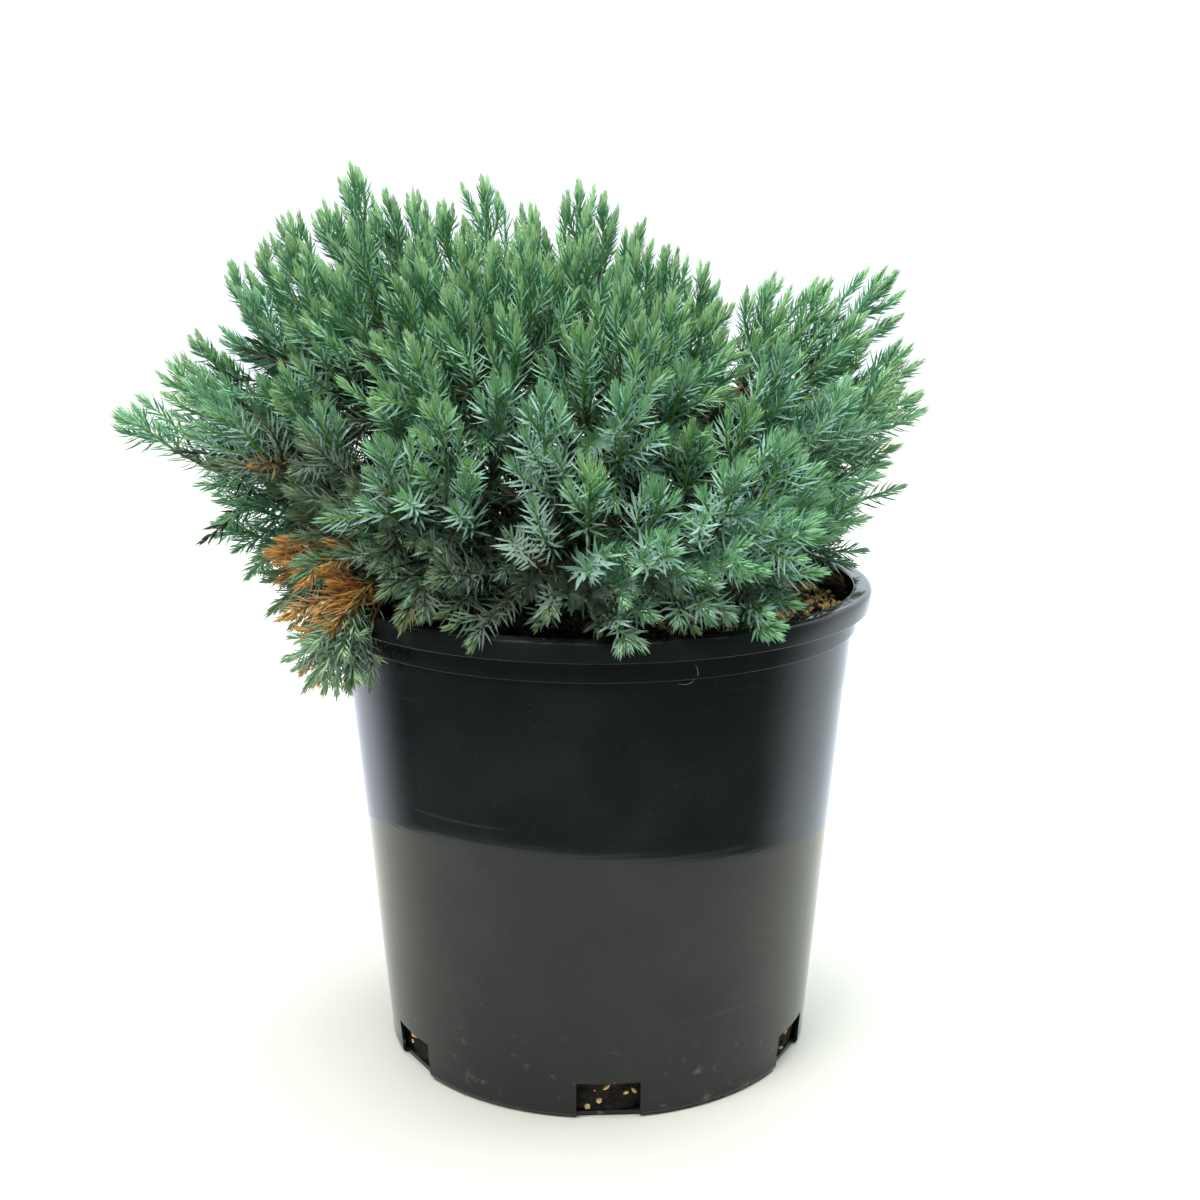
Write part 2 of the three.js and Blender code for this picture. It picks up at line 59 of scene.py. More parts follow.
class Socket:
    """An output of a node, which can be added to, multiplied and so on."""

    def __init__(self, finish, socket):
        self.finish, self.socket = finish, socket

    def maths(self, operation, *values):
        return self.finish.node("Math", {"operation": operation}, dict(enumerate(values)))

    def __add__(self, other):
        return self.maths("ADD", self, other)

    def __mul__(self, other):
        return self.maths("MULTIPLY", self, other)

    def ramp(self, low, high):
        """0 below low and 1 above high, or the other way round."""
        inputs = {"Value": self, "From Min": low, "From Max": high}
        return self.finish.node("MapRange", {"interpolation_type": "SMOOTHSTEP"}, inputs)


class Finish:
    """A material with one Principled shader."""

    def __init__(self, name, **values):
        self.material = bpy.data.materials.new(name)
        self.material.use_nodes = True
        self.tree = self.material.node_tree
        self.shader = self.tree.nodes["Principled BSDF"]
        self.set(**values)

    def set(self, **values):
        """Give inputs of the shader, such as base_color, a number, a colour or a socket."""
        for key, value in values.items():
            self.feed(self.shader.inputs[key.replace("_", " ").title()], value)

    def feed(self, socket, value):
        if isinstance(value, Socket):
            self.tree.links.new(value.socket, socket)
        elif socket.type == "RGBA":
            socket.default_value = (*value, 1)
        else:
            socket.default_value = value

    def node(self, kind, settings, inputs, output=0):
        made = self.tree.nodes.new("ShaderNode" + kind)
        for key, value in settings.items():
            setattr(made, key, value)
        for key, value in inputs.items():
            self.feed(made.inputs[key], value)
        return Socket(self, made.outputs[output])

    def place(self):
        """The point on the object, in metres."""
        return self.node("TexCoord", {}, {}, "Object")

    def noise(self, size, detail=2, stretch=(1, 1, 1), **more):
        """Cloudy noise whose blobs are about size metres across."""
        at = self.node("VectorMath", {"operation": "MULTIPLY"}, {0: self.place(), 1: stretch})
        inputs = {"Vector": at, "Scale": 1 / size, "Detail": detail, **more}
        return self.node("TexNoise", {}, inputs)

    def mix(self, share, first, second):
        return self.node("Mix", {"data_type": "RGBA"}, {0: share, 6: first, 7: second}, 2)

    def bump(self, height, strength, depth):
        inputs = {"Height": height, "Strength": strength, "Distance": depth}
        self.set(normal=self.node("Bump", {}, inputs))


def colour(red, green, blue):
    """A colour read off a chart, 0 to 255, as the linear numbers that shaders use."""
    shares = (red / 255, green / 255, blue / 255)
    return tuple(((c + 0.055) / 1.055) ** 2.4 if c > 0.04 else c / 12.92 for c in shares)


# %% [markdown]
# ## Meshes from arrays
#
# Needles and grains come by the thousand. Adding them one at a time through Blender's operators
# would take hours, so their corners are worked out in numpy and handed over in one go.

# %% Mesh helpers
MM = 0.001


def mesh_piece(name, points, triangles, finishes, wears=None, smooth=True):
    """A mesh object from corner points in millimetres, triangles and each triangle's finish."""
    points, triangles = np.asarray(points, float), np.asarray(triangles, np.int32)
    mesh = bpy.data.meshes.new(name)
    mesh.vertices.add(len(points))
    mesh.vertices.foreach_set("co", (points * MM).ravel())
    mesh.loops.add(triangles.size)
    mesh.loops.foreach_set("vertex_index", triangles.ravel())
    mesh.polygons.add(len(triangles))
    mesh.polygons.foreach_set("loop_start", np.arange(0, triangles.size, 3, dtype=np.int32))
    mesh.polygons.foreach_set("use_smooth", np.full(len(triangles), smooth))
    for finish in finishes:
        mesh.materials.append(finish.material)
    if wears is not None:
        mesh.polygons.foreach_set("material_index", np.asarray(wears, np.int32))
    mesh.update(calc_edges=True)
    made = bpy.data.objects.new(name, mesh)
    bpy.context.scene.collection.objects.link(made)
    return made


def grid_triangles(rows, columns, closed=True):
    """Triangles of a net of corners, whose columns may close into a ring."""
    row, column = np.mgrid[: rows - 1, : columns if closed else columns - 1]
    a = (row * columns + column).ravel()
    b = (row * columns + (column + 1) % columns).ravel()
    return np.concatenate([np.stack([a, b, b + columns], 1), np.stack([a, b + columns, a + columns], 1)])


def round_axis(radius, angle, z):
    """Points at these distances from the vertical axis, turns round it and heights."""
    return np.stack(np.broadcast_arrays(radius * np.cos(angle), radius * np.sin(angle), z), -1)


def turned(profile, sides):
    """Corners and triangles of a surface turned round the vertical axis from (radius, height)."""
    radius, height = np.array(profile, float).T[..., None]
    angle = np.arange(sides) * 2 * math.pi / sides
    return round_axis(radius, angle, height).reshape(-1, 3), grid_triangles(len(radius), sides)


# %% [markdown]
# ## The studio
#
# The camera stands a little under a metre away and slightly above the rim, where a photographer
# would kneel. A pale floor and an even white surround give soft light from everywhere. One large
# lamp above and to the left gives the needles their form, and another overhead fills the crown.

# %% Camera, floor and lights
CAMERA_DISTANCE = 0.840
CAMERA_ELEVATION = math.radians(12.67)
CAMERA_AIM = Vector((0.0012, 0, 0.2315))
LENS = 48.64
SKY_TINT, SKY_STRENGTH = (0.94, 1, 1.03, 1), 1.14
scene = bpy.context.scene
scene.view_settings.view_transform = "Standard"


def set_up(thing, place, ahead):
    """Put a camera or lamp at a place, looking ahead."""
    thing.location = place
    thing.rotation_mode = "QUATERNION"
    thing.rotation_quaternion = ahead.to_track_quat("-Z", "Y")
    scene.collection.objects.link(thing)


scene.camera = bpy.data.objects.new("camera", bpy.data.cameras.new("camera"))
scene.camera.data.lens = LENS
ahead = Vector((0, math.cos(CAMERA_ELEVATION), -math.sin(CAMERA_ELEVATION)))
set_up(scene.camera, CAMERA_AIM - ahead * CAMERA_DISTANCE, ahead)

scene.world = bpy.data.worlds.new("surround")
scene.world.use_nodes = True
background = scene.world.node_tree.nodes["Background"]
background.inputs["Color"].default_value = SKY_TINT
background.inputs["Strength"].default_value = SKY_STRENGTH

CROWN_MIDDLE = Vector((0, 0, 0.3))
# Each lamp: place, side in metres, watts and tint.
LAMPS = {
    "key_lamp": ((-0.7, -0.9, 1.7), 0.9, 20, (1, 0.98, 0.95)),
    "sky_lamp": ((0.1, -0.1, 2.0), 1.6, 32, (0.96, 0.98, 1)),
}
for name, (place, size, watts, tint) in LAMPS.items():
    light = bpy.data.lights.new(name, "AREA")
    light.size, light.energy, light.color = size, watts, tint
    lamp = bpy.data.objects.new(name, light)
    lamp.visible_glossy = False
    set_up(lamp, place, CROWN_MIDDLE - Vector(place))

FLOOR_RADII, FLOOR_LEVEL, FLOOR_SIDES = (4000, 1000, 1), -0.4, 96
floor_shape = turned([(radius, FLOOR_LEVEL) for radius in FLOOR_RADII], FLOOR_SIDES)
floor_finish = Finish("floor_paint", base_color=colour(250, 250, 238), roughness=0.8)
floor = mesh_piece("floor", *floor_shape, [floor_finish])
print("lamps:", len(LAMPS))

# %% [markdown]
# Shiny black plastic shows whatever stands round it, so a studio hangs dark cloth in front of it and
# leaves the light in at the sides, which draws a pale band down each edge. A real cloth would also
# darken the plant. Here soft light sees one cloth and reflections see another, whose sides glow
# cool white, so that each is set on its own. No picture has them in view, and they throw no shadow.

# %% Cloths
CLOTH_CENTRE, CLOTH_COLUMNS = -12, 90
CLOTH_FROM, CLOTH_TO = math.radians(-97), math.radians(79)  # the dark part, from the front
CLOTH_FADE = math.radians(17)  # how gradually that ends in reflections
CLOTH_END = math.radians(165)
# Each cloth: distance, foot and top.
SHADE_SIZE, REFLECTED_SIZE = (460, 90, 640), (350, 0, 520)
DARK, GLOW_LEFT, GLOW_RIGHT = (0.03, 0.04, 0.05), (0.82, 0.86, 0.98), (0.83, 0.92, 0.98)
GLOW_STRENGTH = 1.65


def cloth_band(name, start, end, radius, low, high):
    """A dark cloth hung in part of a ring, between two heights."""
    turn = np.linspace(start, end, CLOTH_COLUMNS) - math.pi / 2
    points = np.concatenate([round_axis(radius, turn, z) for z in (low, high)]) + [CLOTH_CENTRE, 0, 0]
    finish = Finish(name + "_finish", base_color=colour(20, 28, 42), roughness=1)
    cloth = mesh_piece(name, points, grid_triangles(2, CLOTH_COLUMNS, closed=False), [finish])
    cloth.visible_camera = cloth.visible_shadow = cloth.visible_transmission = False
    return cloth, finish


shade_cloth, _ = cloth_band("shade_cloth", CLOTH_FROM, CLOTH_TO, *SHADE_SIZE)
shade_cloth.visible_glossy = False
dark_cloth, glow = cloth_band("dark_cloth", -CLOTH_END, CLOTH_END, *REFLECTED_SIZE)
dark_cloth.visible_diffuse = False
x, y = (glow.node("SeparateXYZ", {}, {0: glow.place()}, axis) for axis in (0, 1))
from_front = glow.node("Math", {"operation": "ARCTAN2"}, {0: x, 1: y * -1})
right = from_front.ramp(CLOTH_TO - CLOTH_FADE, CLOTH_TO + CLOTH_FADE)
left = from_front.ramp(CLOTH_FROM + CLOTH_FADE, CLOTH_FROM - CLOTH_FADE)
lit = glow.mix(left, glow.mix(right, DARK, GLOW_RIGHT), GLOW_LEFT)
glow.set(emission_color=lit, emission_strength=GLOW_STRENGTH)

# %% [markdown]
# ## The container
#
# A nursery container is blow-moulded polyethylene: thin, tapered so that empties stack, with a
# rolled lip, a band below it, a faint ring where the next container sits, and drainage slots cut
# through the heel. It is turned from one profile, as the mould is, and the slots are then cut out
# of it with a Boolean. A profile keeps the taper and the lip true from every side.

# %% Container shape
POT_HEIGHT, LIP_RADIUS, LIP_HEIGHT = 244, 140, 10
MOUTH_RADIUS, BAND_RADIUS, BAND_HEIGHT, BAND_PROUD = 130.5, 132.9, 10.5, 2.4
LEDGE_HEIGHT, LEDGE_STEP = 197, 0.36
HEEL_RADIUS, HEEL_ROUND, WALL, FLOOR = 111.5, 3, 1.8, 2.2
SLOTS, SLOT_WIDTH, SLOT_HEIGHT, SLOT_DEPTH = 6, 31, 19, 4
FIRST_SLOT = math.radians(-87.3)
LIP_FOOT = POT_HEIGHT - LIP_HEIGHT
BAND_FOOT = LIP_FOOT - BAND_HEIGHT
POT_SIDES = 216


def wall_radius(z):
    share = (z - HEEL_ROUND) / (BAND_FOOT - HEEL_ROUND)
    return HEEL_RADIUS + share * (BAND_RADIUS - BAND_PROUD - HEEL_RADIUS)


def inside_radius(z):
    return wall_radius(z) - WALL


def arc(radius, height, size, start, end, steps=6):
    """Points of a profile on part of a circle, in degrees from straight out."""
    turn = np.radians(np.linspace(start, end, steps))
    return [(radius + size * math.cos(a), height + size * math.sin(a)) for a in turn]


LIP_EDGE, LIP_UNDER = 2.6, 0.5  # rounding of the lip's outer edge, above and below
wall_heights = [HEEL_ROUND + 1, *np.linspace(HEEL_ROUND + 8, LEDGE_HEIGHT - 3, 12)]
wall_heights += [LEDGE_HEIGHT - 1.2, LEDGE_HEIGHT - 0.15]
ledge_heights = [LEDGE_HEIGHT, LEDGE_HEIGHT + 0.7, LEDGE_HEIGHT + 2.5, 210]
ledge_heights += [BAND_FOOT - 2.5, BAND_FOOT - 0.6, BAND_FOOT]
pot_profile = [
    (0.01, 0),
    (60, 0),
    *arc(HEEL_RADIUS - HEEL_ROUND, HEEL_ROUND, HEEL_ROUND, -90, 0),
    *[(wall_radius(z) - LEDGE_STEP / 2, z) for z in wall_heights],
    *[(wall_radius(z) + LEDGE_STEP / 2, z) for z in ledge_heights],
    *arc(BAND_RADIUS - 0.4, BAND_FOOT + 0.5, 0.4, -70, 0, 5),
    (BAND_RADIUS + 0.1, BAND_FOOT + 4),
    (BAND_RADIUS, LIP_FOOT - 1.4),
    *arc(BAND_RADIUS + 1.2, LIP_FOOT - 1.2, 1.2, 180, 90, 4),
    *arc(LIP_RADIUS - LIP_UNDER - 0.7, LIP_FOOT + LIP_UNDER, LIP_UNDER, -90, -10, 5),
    (LIP_RADIUS - 0.2, LIP_FOOT + 5),
    *arc(LIP_RADIUS - LIP_EDGE, POT_HEIGHT - LIP_EDGE, LIP_EDGE, 8, 84, 7),
    (LIP_RADIUS - 4, POT_HEIGHT),
    (MOUTH_RADIUS + 3, POT_HEIGHT - 0.15),
    *arc(MOUTH_RADIUS + 1.1, POT_HEIGHT - 1.3, 1.1, 90, 180, 5),
    (MOUTH_RADIUS - 0.4, LIP_FOOT),
    (inside_radius(BAND_FOOT), BAND_FOOT),
    (inside_radius(120), 120),
    (inside_radius(FLOOR), FLOOR),
    (0.01, FLOOR),
]
pot_points, pot_triangles = turned(pot_profile, POT_SIDES)

# %% [markdown]
# The plastic is near black and half glossy. It has picked up the marks of a growing season: dust
# that clings in faint clouds, pale lime near the heel where water drained, and fine scuffs that
# run round the wall. All of them are masks over one colour, and they also make the gloss uneven.

# %% Container finish
plastic = Finish("nursery_plastic")
height = plastic.node("SeparateXYZ", {}, {0: plastic.place()}, 2)
clouds = plastic.noise(0.045, 4)
speckle = plastic.noise(0.0016, 2).ramp(0.66, 0.8)
rings = plastic.noise(0.03, 3, (0.25, 0.25, 14))
scuffs = plastic.noise(0.05, 5, (0.4, 0.4, 26)).ramp(0.62, 0.75)
lime = plastic.noise(0.008, 5).ramp(0.6, 0.74) * height.ramp(0.05, 0.012)
dust = clouds.ramp(0.35, 0.8) * 0.018 + speckle * 0.05 + scuffs * 0.02 + lime * 0.16
plastic.set(base_color=plastic.mix(dust, colour(27, 32, 31), colour(176, 176, 166)))
plastic.feed(plastic.shader.inputs["Specular IOR Level"], 0.33)
uneven = clouds * 0.03 + rings * 0.02 + scuffs * 0.05 + lime * 0.3 + 0.035
plastic.set(roughness=uneven)
plastic.bump(rings * 0.3 + plastic.noise(0.0009, 1) * 0.12 + scuffs * 0.2, 0.08, 0.0006)

pot = mesh_piece("pot_shell", pot_points, pot_triangles, [plastic])
slot_turn = FIRST_SLOT + 2 * math.pi * np.arange(SLOTS) / SLOTS
box = np.array([[x, y, z] for x in (0, 30) for y in (-0.5, 0.5) for z in (-1, 1)], float)
box = box * [1, SLOT_WIDTH, SLOT_HEIGHT] + [HEEL_RADIUS - SLOT_DEPTH, 0, 0]
box_sides = [[0, 1, 3, 2], [4, 6, 7, 5], [0, 4, 5, 1], [2, 3, 7, 6], [0, 2, 6, 4], [1, 5, 7, 3]]
box_triangles = np.array([[a, *pair] for a, b, c, d in box_sides for pair in ((b, c), (c, d))])
boxes = []
for angle in slot_turn:
    cos, sin = math.cos(angle), math.sin(angle)
    boxes.append(box @ np.array([[cos, sin, 0], [-sin, cos, 0], [0, 0, 1]]))
cutter_triangles = np.concatenate([box_triangles + len(box) * i for i in range(SLOTS)])
cutter = mesh_piece("slot_cutter", np.concatenate(boxes), cutter_triangles, [plastic])
cut = pot.modifiers.new("slots", "BOOLEAN")
cut.object, cut.solver = cutter, "EXACT"
shaped = bpy.data.meshes.new_from_object(pot.evaluated_get(bpy.context.evaluated_depsgraph_get()))
pot.modifiers.clear()
pot.data = shaped
bpy.data.objects.remove(cutter)
shaped.polygons.foreach_set("use_smooth", np.full(len(shaped.polygons), True))
shaped.set_sharp_from_angle(angle=math.radians(35))
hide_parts("pot")
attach(pot, "root")
print("container faces:", len(shaped.polygons))

# %% [markdown]
# ## The potting mix
#
# The mix is bark fines and peat with perlite, slow-release feed beads and the odd wood chip. It
# shows in the gap by the rim and through the slots. A turned block with a rough skin carries it,
# and loose grains of four kinds lie on top: they catch the light in a way no bump map does.

# %% Mix block
SOIL_EDGE, SOIL_CROWN, SOIL_CROWN_RADIUS, SOIL_RADIUS, GAP = 230, 233, 40, 128, 0.3
SOIL_SIDES = 220
side_heights = np.concatenate([np.linspace(FLOOR + GAP, 24, 14), np.linspace(40, SOIL_EDGE, 12)])
top_radii = np.linspace(inside_radius(BAND_FOOT) - GAP, 1, 44)


def mix_level(radius):
    """How high the mix stands, flat in the middle and a little lower at its edge."""
    return np.interp(radius, [SOIL_CROWN_RADIUS, SOIL_RADIUS], [SOIL_CROWN, SOIL_EDGE])


soil_profile = [(1, FLOOR + GAP), (60, FLOOR + GAP)]
soil_profile += [(min(inside_radius(z), inside_radius(BAND_FOOT)) - GAP, z) for z in side_heights]
soil_profile += [(r, mix_level(r)) for r in top_radii[1:]]
soil_points, soil_triangles = turned(soil_profile, SOIL_SIDES)


def rough(points, size, seed):
    """Noise from -1 to 1 at each point, in blobs of about this size in millimetres."""
    return np.array([noise.fractal(Vector(p) / size + Vector((seed, 0, 0)), 0.8, 2.1, 3) for p in points])


on_top = np.arange(len(soil_points)) // SOIL_SIDES >= 2 + len(side_heights)
crumbs = rough(soil_points, 7, 3)
soil_points[on_top, 2] += 2.2 * crumbs[on_top] - 0.6
inwards = 1 - np.clip(2.6 + 2 * crumbs[~on_top], 0, 6) / 115
soil_points[~on_top, :2] *= inwards[:, None]

peat = Finish("peat_and_bark", roughness=0.95)
crumb = peat.noise(0.004, 5)
fleck = peat.noise(0.0022, 2).ramp(0.62, 0.7)
dark = peat.mix(crumb.ramp(0.35, 0.65), colour(20, 15, 11), colour(66, 50, 35))
# Painted shade: the mix is darkened towards its foot, where it shows through the slots, in place of the
# shade in there.
painted_slot_shade = peat.node("SeparateXYZ", {}, {0: peat.place()}, 2).ramp(0.05, 0.025)
flecked = peat.mix(fleck * 0.4, dark, colour(150, 112, 66))
peat.set(base_color=peat.mix(painted_slot_shade * 0.8, flecked, colour(14, 12, 9)))
peat.bump(crumb, 0.9, 0.002)
soil = mesh_piece("potting_mix", soil_points, soil_triangles, [peat])
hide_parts("soil")
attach(soil, "root")

# %% [markdown]
# Each grain is a little rounded lump, squashed and turned at random. The wood chips are long and
# flat, the beads are round, and the perlite is crumbly white.

# %% Loose grains
grain_numbers = np.random.default_rng(5)
# A lump has two rings of five corners between its poles, and so twenty triangles.
RING_OUT, RING_UP, FIFTH = 0.894, 0.447, 1.2566
ring_turn = np.arange(5) * FIFTH
upper_ring = round_axis(RING_OUT, ring_turn, RING_UP)
lower_ring = round_axis(RING_OUT, ring_turn + FIFTH / 2, -RING_UP)
LUMP = np.concatenate([[[0, 0, 1]], upper_ring, lower_ring, [[0, 0, -1]]])
neighbours = [(i, (i + 1) % 5) for i in range(5)]
LUMP_TRIANGLES = np.array(
    [[0, i + 1, j + 1] for i, j in neighbours]
    + [[i + 1, i + 6, j + 1] for i, j in neighbours]
    + [[j + 1, i + 6, j + 6] for i, j in neighbours]
    + [[11, j + 6, i + 6] for i, j in neighbours]
)


def lumps(places, sizes, jitter):
    """Lumps at these places, with these half sizes along three directions, turned at random."""
    count = len(places)
    shape = LUMP * sizes[:, None] * (1 + jitter * grain_numbers.normal(size=(count, len(LUMP), 1)))
    turns, _ = np.linalg.qr(grain_numbers.normal(size=(count, 3, 3)))
    points = shape @ turns + places[:, None]
    triangles = LUMP_TRIANGLES + len(LUMP) * np.arange(count)[:, None, None]
    return points.reshape(-1, 3), triangles.reshape(-1, 3)


def on_mix(count, arc):
    """Random places on top of the mix, within an arc round its right-hand side."""
    radius = (SOIL_RADIUS - 2) * np.sqrt(grain_numbers.random(count))
    angle = arc * (grain_numbers.random(count) - 0.5)
    return round_axis(radius, angle, mix_level(radius))


def in_slots(count):
    """Random places on the face of the mix behind the slots."""
    angle = grain_numbers.choice(slot_turn, count) + grain_numbers.uniform(-0.12, 0.12, count)
    z = grain_numbers.uniform(4, 17, count)
    radius = inside_radius(z) - grain_numbers.uniform(2, 5, count)
    return round_axis(radius, angle, z)


WHOLE, OPEN_SIDE = 2 * math.pi, math.radians(130)  # the pale grains lie where the crown is open
GRAINS = {
    "bark_crumbs": (1000, 90, (2.6, 1.5, 1.0), colour(50, 38, 28), WHOLE),
    "wood_chips": (420, 14, (3.8, 2.1, 1.4), colour(250, 205, 130), OPEN_SIDE),
    "perlite": (150, 6, (1.7, 1.5, 1.2), colour(232, 222, 196), OPEN_SIDE),
    "feed_beads": (330, 4, (2.2, 2.2, 2.2), colour(240, 212, 150), OPEN_SIDE),
}
for name, (count, slotted, half_size, tint, arc_width) in GRAINS.items():
    places = np.concatenate([on_mix(count, arc_width), in_slots(slotted)])
    sizes = half_size * grain_numbers.uniform(0.45, 1.15, (len(places), 1))
    points, triangles = lumps(places, sizes, 0 if name == "feed_beads" else 0.14)
    grain = Finish(name, roughness=0.9)
    patchy = grain.noise(0.0025, 3)
    darker = tuple(c * 0.45 for c in tint)
    grain.set(base_color=grain.mix(patchy.ramp(0.3, 0.62), darker, tint))
    grain.bump(patchy, 0.5, 0.001)
    piece = mesh_piece(name, points, triangles, [grain], smooth=name == "feed_beads")
    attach(piece, "root")

# %% [markdown]
# ## Where limbs and foliage may go
#
# The same rule as the solids follow, written again so that finer twigs can grow on from it. Every
# mass of foliage has a direction from the heart of the crown, and it keeps to the part of the
# crown that lies nearest to that direction. Numbers are in millimetres up to the last step.

# %% Sizes of the plant
STEM_FOOT = np.array([-4, 1, SOIL_CROWN + GAP])
STEM_TOP = np.array([-14.0, 3, 282])
STEM_TAPER = [(-0.06, 12), (0.14, 9), (0.4, 8), (1, 5)]
LOWEST_BOUGH, BOUGH_ROOT_RADIUS, BOUGH_TIP_RADIUS = 0.2, 3.2, 1.9
BOUGH_SAG, BOUGH_SHARE, BOUGH_STEPS = 0.1, 0.36, 3
HEART = np.array([-12.0, 2, 256])
# Each mass of foliage: azimuth and rise in degrees, reach and droop, and how much its shoots turn up.
MASSES = {
    "top_left": (176, 62, 221, 0, 2),
    "top": (100, 84, 188, 0, 1.4),
    "top_right": (-10, 66, 170, 0, 0.9),
    "right_upper": (7, 44, 211, 0, 0.35),
    "right": (-4, 24, 196, 0, 0.25),
    "left_upper": (178, 42, 230, 0, 1.7),
    "left": (-178, 21, 242, 0, 0.5),
    "left_lower": (-161, 4, 166, 0, 0),
    "front_left_hanging": (-135, 0, 166, 28, -0.9),
    "front_lower": (-92, 6, 152, 20, -0.2),
    "front_right_lower": (-50, 6, 158, 16, -0.1),
    "front_left": (-126, 28, 175, 0, 2.2),
    "front": (-86, 28, 158, 0, 2),
    "front_right": (-44, 28, 162, 0, 1.5),
    "front_left_upper": (-128, 57, 183, 0, 2.6),
    "front_upper": (-68, 56, 158, 0, 2.2),
    "back_left_upper": (132, 45, 195, 0, 1.4),
    "back_upper": (60, 50, 168, 0, 1.4),
    "back_left": (148, 13, 188, 0, 0.9),
    "back": (100, 18, 160, 0, 0.9),
    "back_right": (46, 17, 165, 0, 0.7),
}
# The crown's edge, from the left over the top to the right: degrees above the left, and the reach.
EDGE = [
    (-18, 147), (-9, 150), (-3, 162), (4, 190), (9, 178), (14, 205), (18, 243), (25, 231),
    (31, 222), (40, 230), (45, 222), (50, 226), (55, 218), (60, 227), (63, 206), (66, 202),
    (70, 190), (76, 197), (83, 178), (91, 188), (95, 183), (101, 170), (107, 164), (115, 162),
    (120, 150), (126, 176), (133, 191), (139, 219), (148, 202), (156, 197), (162, 168), (169, 176),
    (175, 136), (180, 154),
]
EDGE_DEPTH, EDGE_STAGGER = 22, 8  # how far behind the heart the edge is at its top, and to and fro
EDGE_DIP = 0.05  # how far it dips between these, as a share of the reach
# The fringe of sprays over the front of the rim: azimuths, number, distance from the container's
# axis, heights over the rim in turn, and how much lower it hangs at its left end.
FRINGE_FROM, FRINGE_TO, FRINGE_COUNT, FRINGE_RADIUS = -150, -52, 16, 156
FRINGE_HEIGHTS, FRINGE_HANG, FRINGE_HANG_SHARE = [14, 34, 0, 50], 52, 0.35
SEED, CLEARANCE, TIP_CLEARANCE = 7, 0.8, 3
SHOOTS_PER_MASS, SHOOT_SPACING, SHOOT_TRIES = 6, 30, 90
SHOOT_SPREAD = math.radians(58)
GOLDEN_ANGLE = math.pi * (3 - math.sqrt(5))
TURN_JITTER, LONGEST, REACH_JITTER = 0.5, 0.97, 0.12
BLEND = 45  # how sharply the crown's shape follows the nearest of its known tips
FAN = 0.3  # how far the shoots of a mass spread from its own middle
LIFT_CHANGES = [0, -0.25, 0.25, -0.5, 0.5, -0.8, 0.8, -1.2, -1.6, -2, -2.4]
LINE_CHECKS = np.array([0, 0.2, 0.4, 0.6, 0.8, 1])[:, None]
SHOOT_LENGTH, SHOOT_RADIUS, TWIG_RADIUS, CORE_SHARE = 52, 1.7, 1.3, 0.57
UP = np.array([0, 0, 1.0])


def unit(v):
    return v / np.linalg.norm(v, axis=-1, keepdims=True)


def heading(azimuth, rise):
    a, r = math.radians(azimuth), math.radians(rise)
    return np.array([math.cos(r) * math.cos(a), math.cos(r) * math.sin(a), math.sin(r)])


def seeded(seed):
    """A repeatable run of numbers from 0 to 1, the same one as the solids use."""
    whole = 0xFFFFFFFF
    state = seed

    def draw():
        nonlocal state
        state = (state + 0x6D2B79F5) & whole
        t = ((state ^ (state >> 15)) * (state | 1)) & whole
        t ^= (t + (t ^ (t >> 7)) * (t | 61)) & whole
        return ((t ^ (t >> 14)) & whole) / 2**32

    return draw


def across(t):
    """Two directions square to t, so that side, lean and t are right-handed."""
    helper = UP if abs(t[2]) < 0.8 else np.array([1.0, 0, 0])
    side = unit(np.cross(helper, t))
    return side, np.cross(t, side)


def outwards(t, angle):
    side, lean = across(t)
    return side * math.cos(angle) + lean * math.sin(angle)


def square_to(points, tangents):
    """Two directions square to a line at each of its points, without a twist from one to the next."""
    side, _ = across(unit(points[-1] - points[0]))
    side = unit(side - (tangents @ side)[:, None] * tangents)
    return side, np.cross(tangents, side)


def bezier(a, b, c, shares):
    """Points on a curve that leaves a towards b and ends in c."""
    s = np.asarray(shares)[:, None]
    return (1 - s) ** 2 * a + 2 * s * (1 - s) * b + s**2 * c


masses = []
for name, (azimuth, *sizes) in MASSES.items():
    mass = dict(zip(("rise", "reach", "droop", "lift"), sizes))
    masses.append({"name": name, "axis": heading(azimuth, mass["rise"]), **mass})
for rank, mass in enumerate(sorted(masses, key=lambda m: m["rise"])):
    share = LOWEST_BOUGH + (1 - LOWEST_BOUGH) * rank / (len(masses) - 1)
    root = STEM_FOOT + (STEM_TOP - STEM_FOOT) * share
    tip = HEART + mass["axis"] * mass["reach"] * BOUGH_SHARE
    bend = (root + tip) / 2 - UP * BOUGH_SAG * np.linalg.norm(tip - root)
    mass["bough"] = (root, bend, tip)
    mass["middle"] = HEART + mass["axis"] * mass["reach"] * CORE_SHARE - UP * mass["droop"] * CORE_SHARE**2
print("masses of foliage:", len(masses))

# %% [markdown]
# Twigs of real plants avoid one another by growing towards light. Here three tests do that: a twig
# keeps to its mass's space, clear of the container and clear of every bough.

# %% Which places are free
axes = np.array([mass["axis"] for mass in masses])
bough_shares = np.linspace(0, 1, BOUGH_STEPS + 1)
bough_taper = np.linspace(BOUGH_ROOT_RADIUS, BOUGH_TIP_RADIUS, BOUGH_STEPS + 1)
stations = [bezier(*mass["bough"], bough_shares) for mass in masses]
stretch_from = np.concatenate([line[:-1] for line in stations])
stretch_to = np.concatenate([line[1:] for line in stations])
stretch_radius = np.tile(bough_taper[1:], len(masses))


def clear_of_boughs(points, margin):
    along = stretch_to - stretch_from
    offset = points[:, None] - stretch_from
    share = np.clip((offset * along).sum(-1) / (along**2).sum(-1), 0, 1)
    distance = np.linalg.norm(offset - share[..., None] * along, axis=-1)
    return (distance > stretch_radius + margin).all(1)


def clear_of_pot(points, margin):
    radius, z = np.hypot(points[:, 0], points[:, 1]), points[:, 2]
    inside = (radius < inside_radius(BAND_FOOT) - margin) & (z > SOIL_CROWN + margin)
    return (z > POT_HEIGHT + margin) | (radius > LIP_RADIUS + margin) | inside


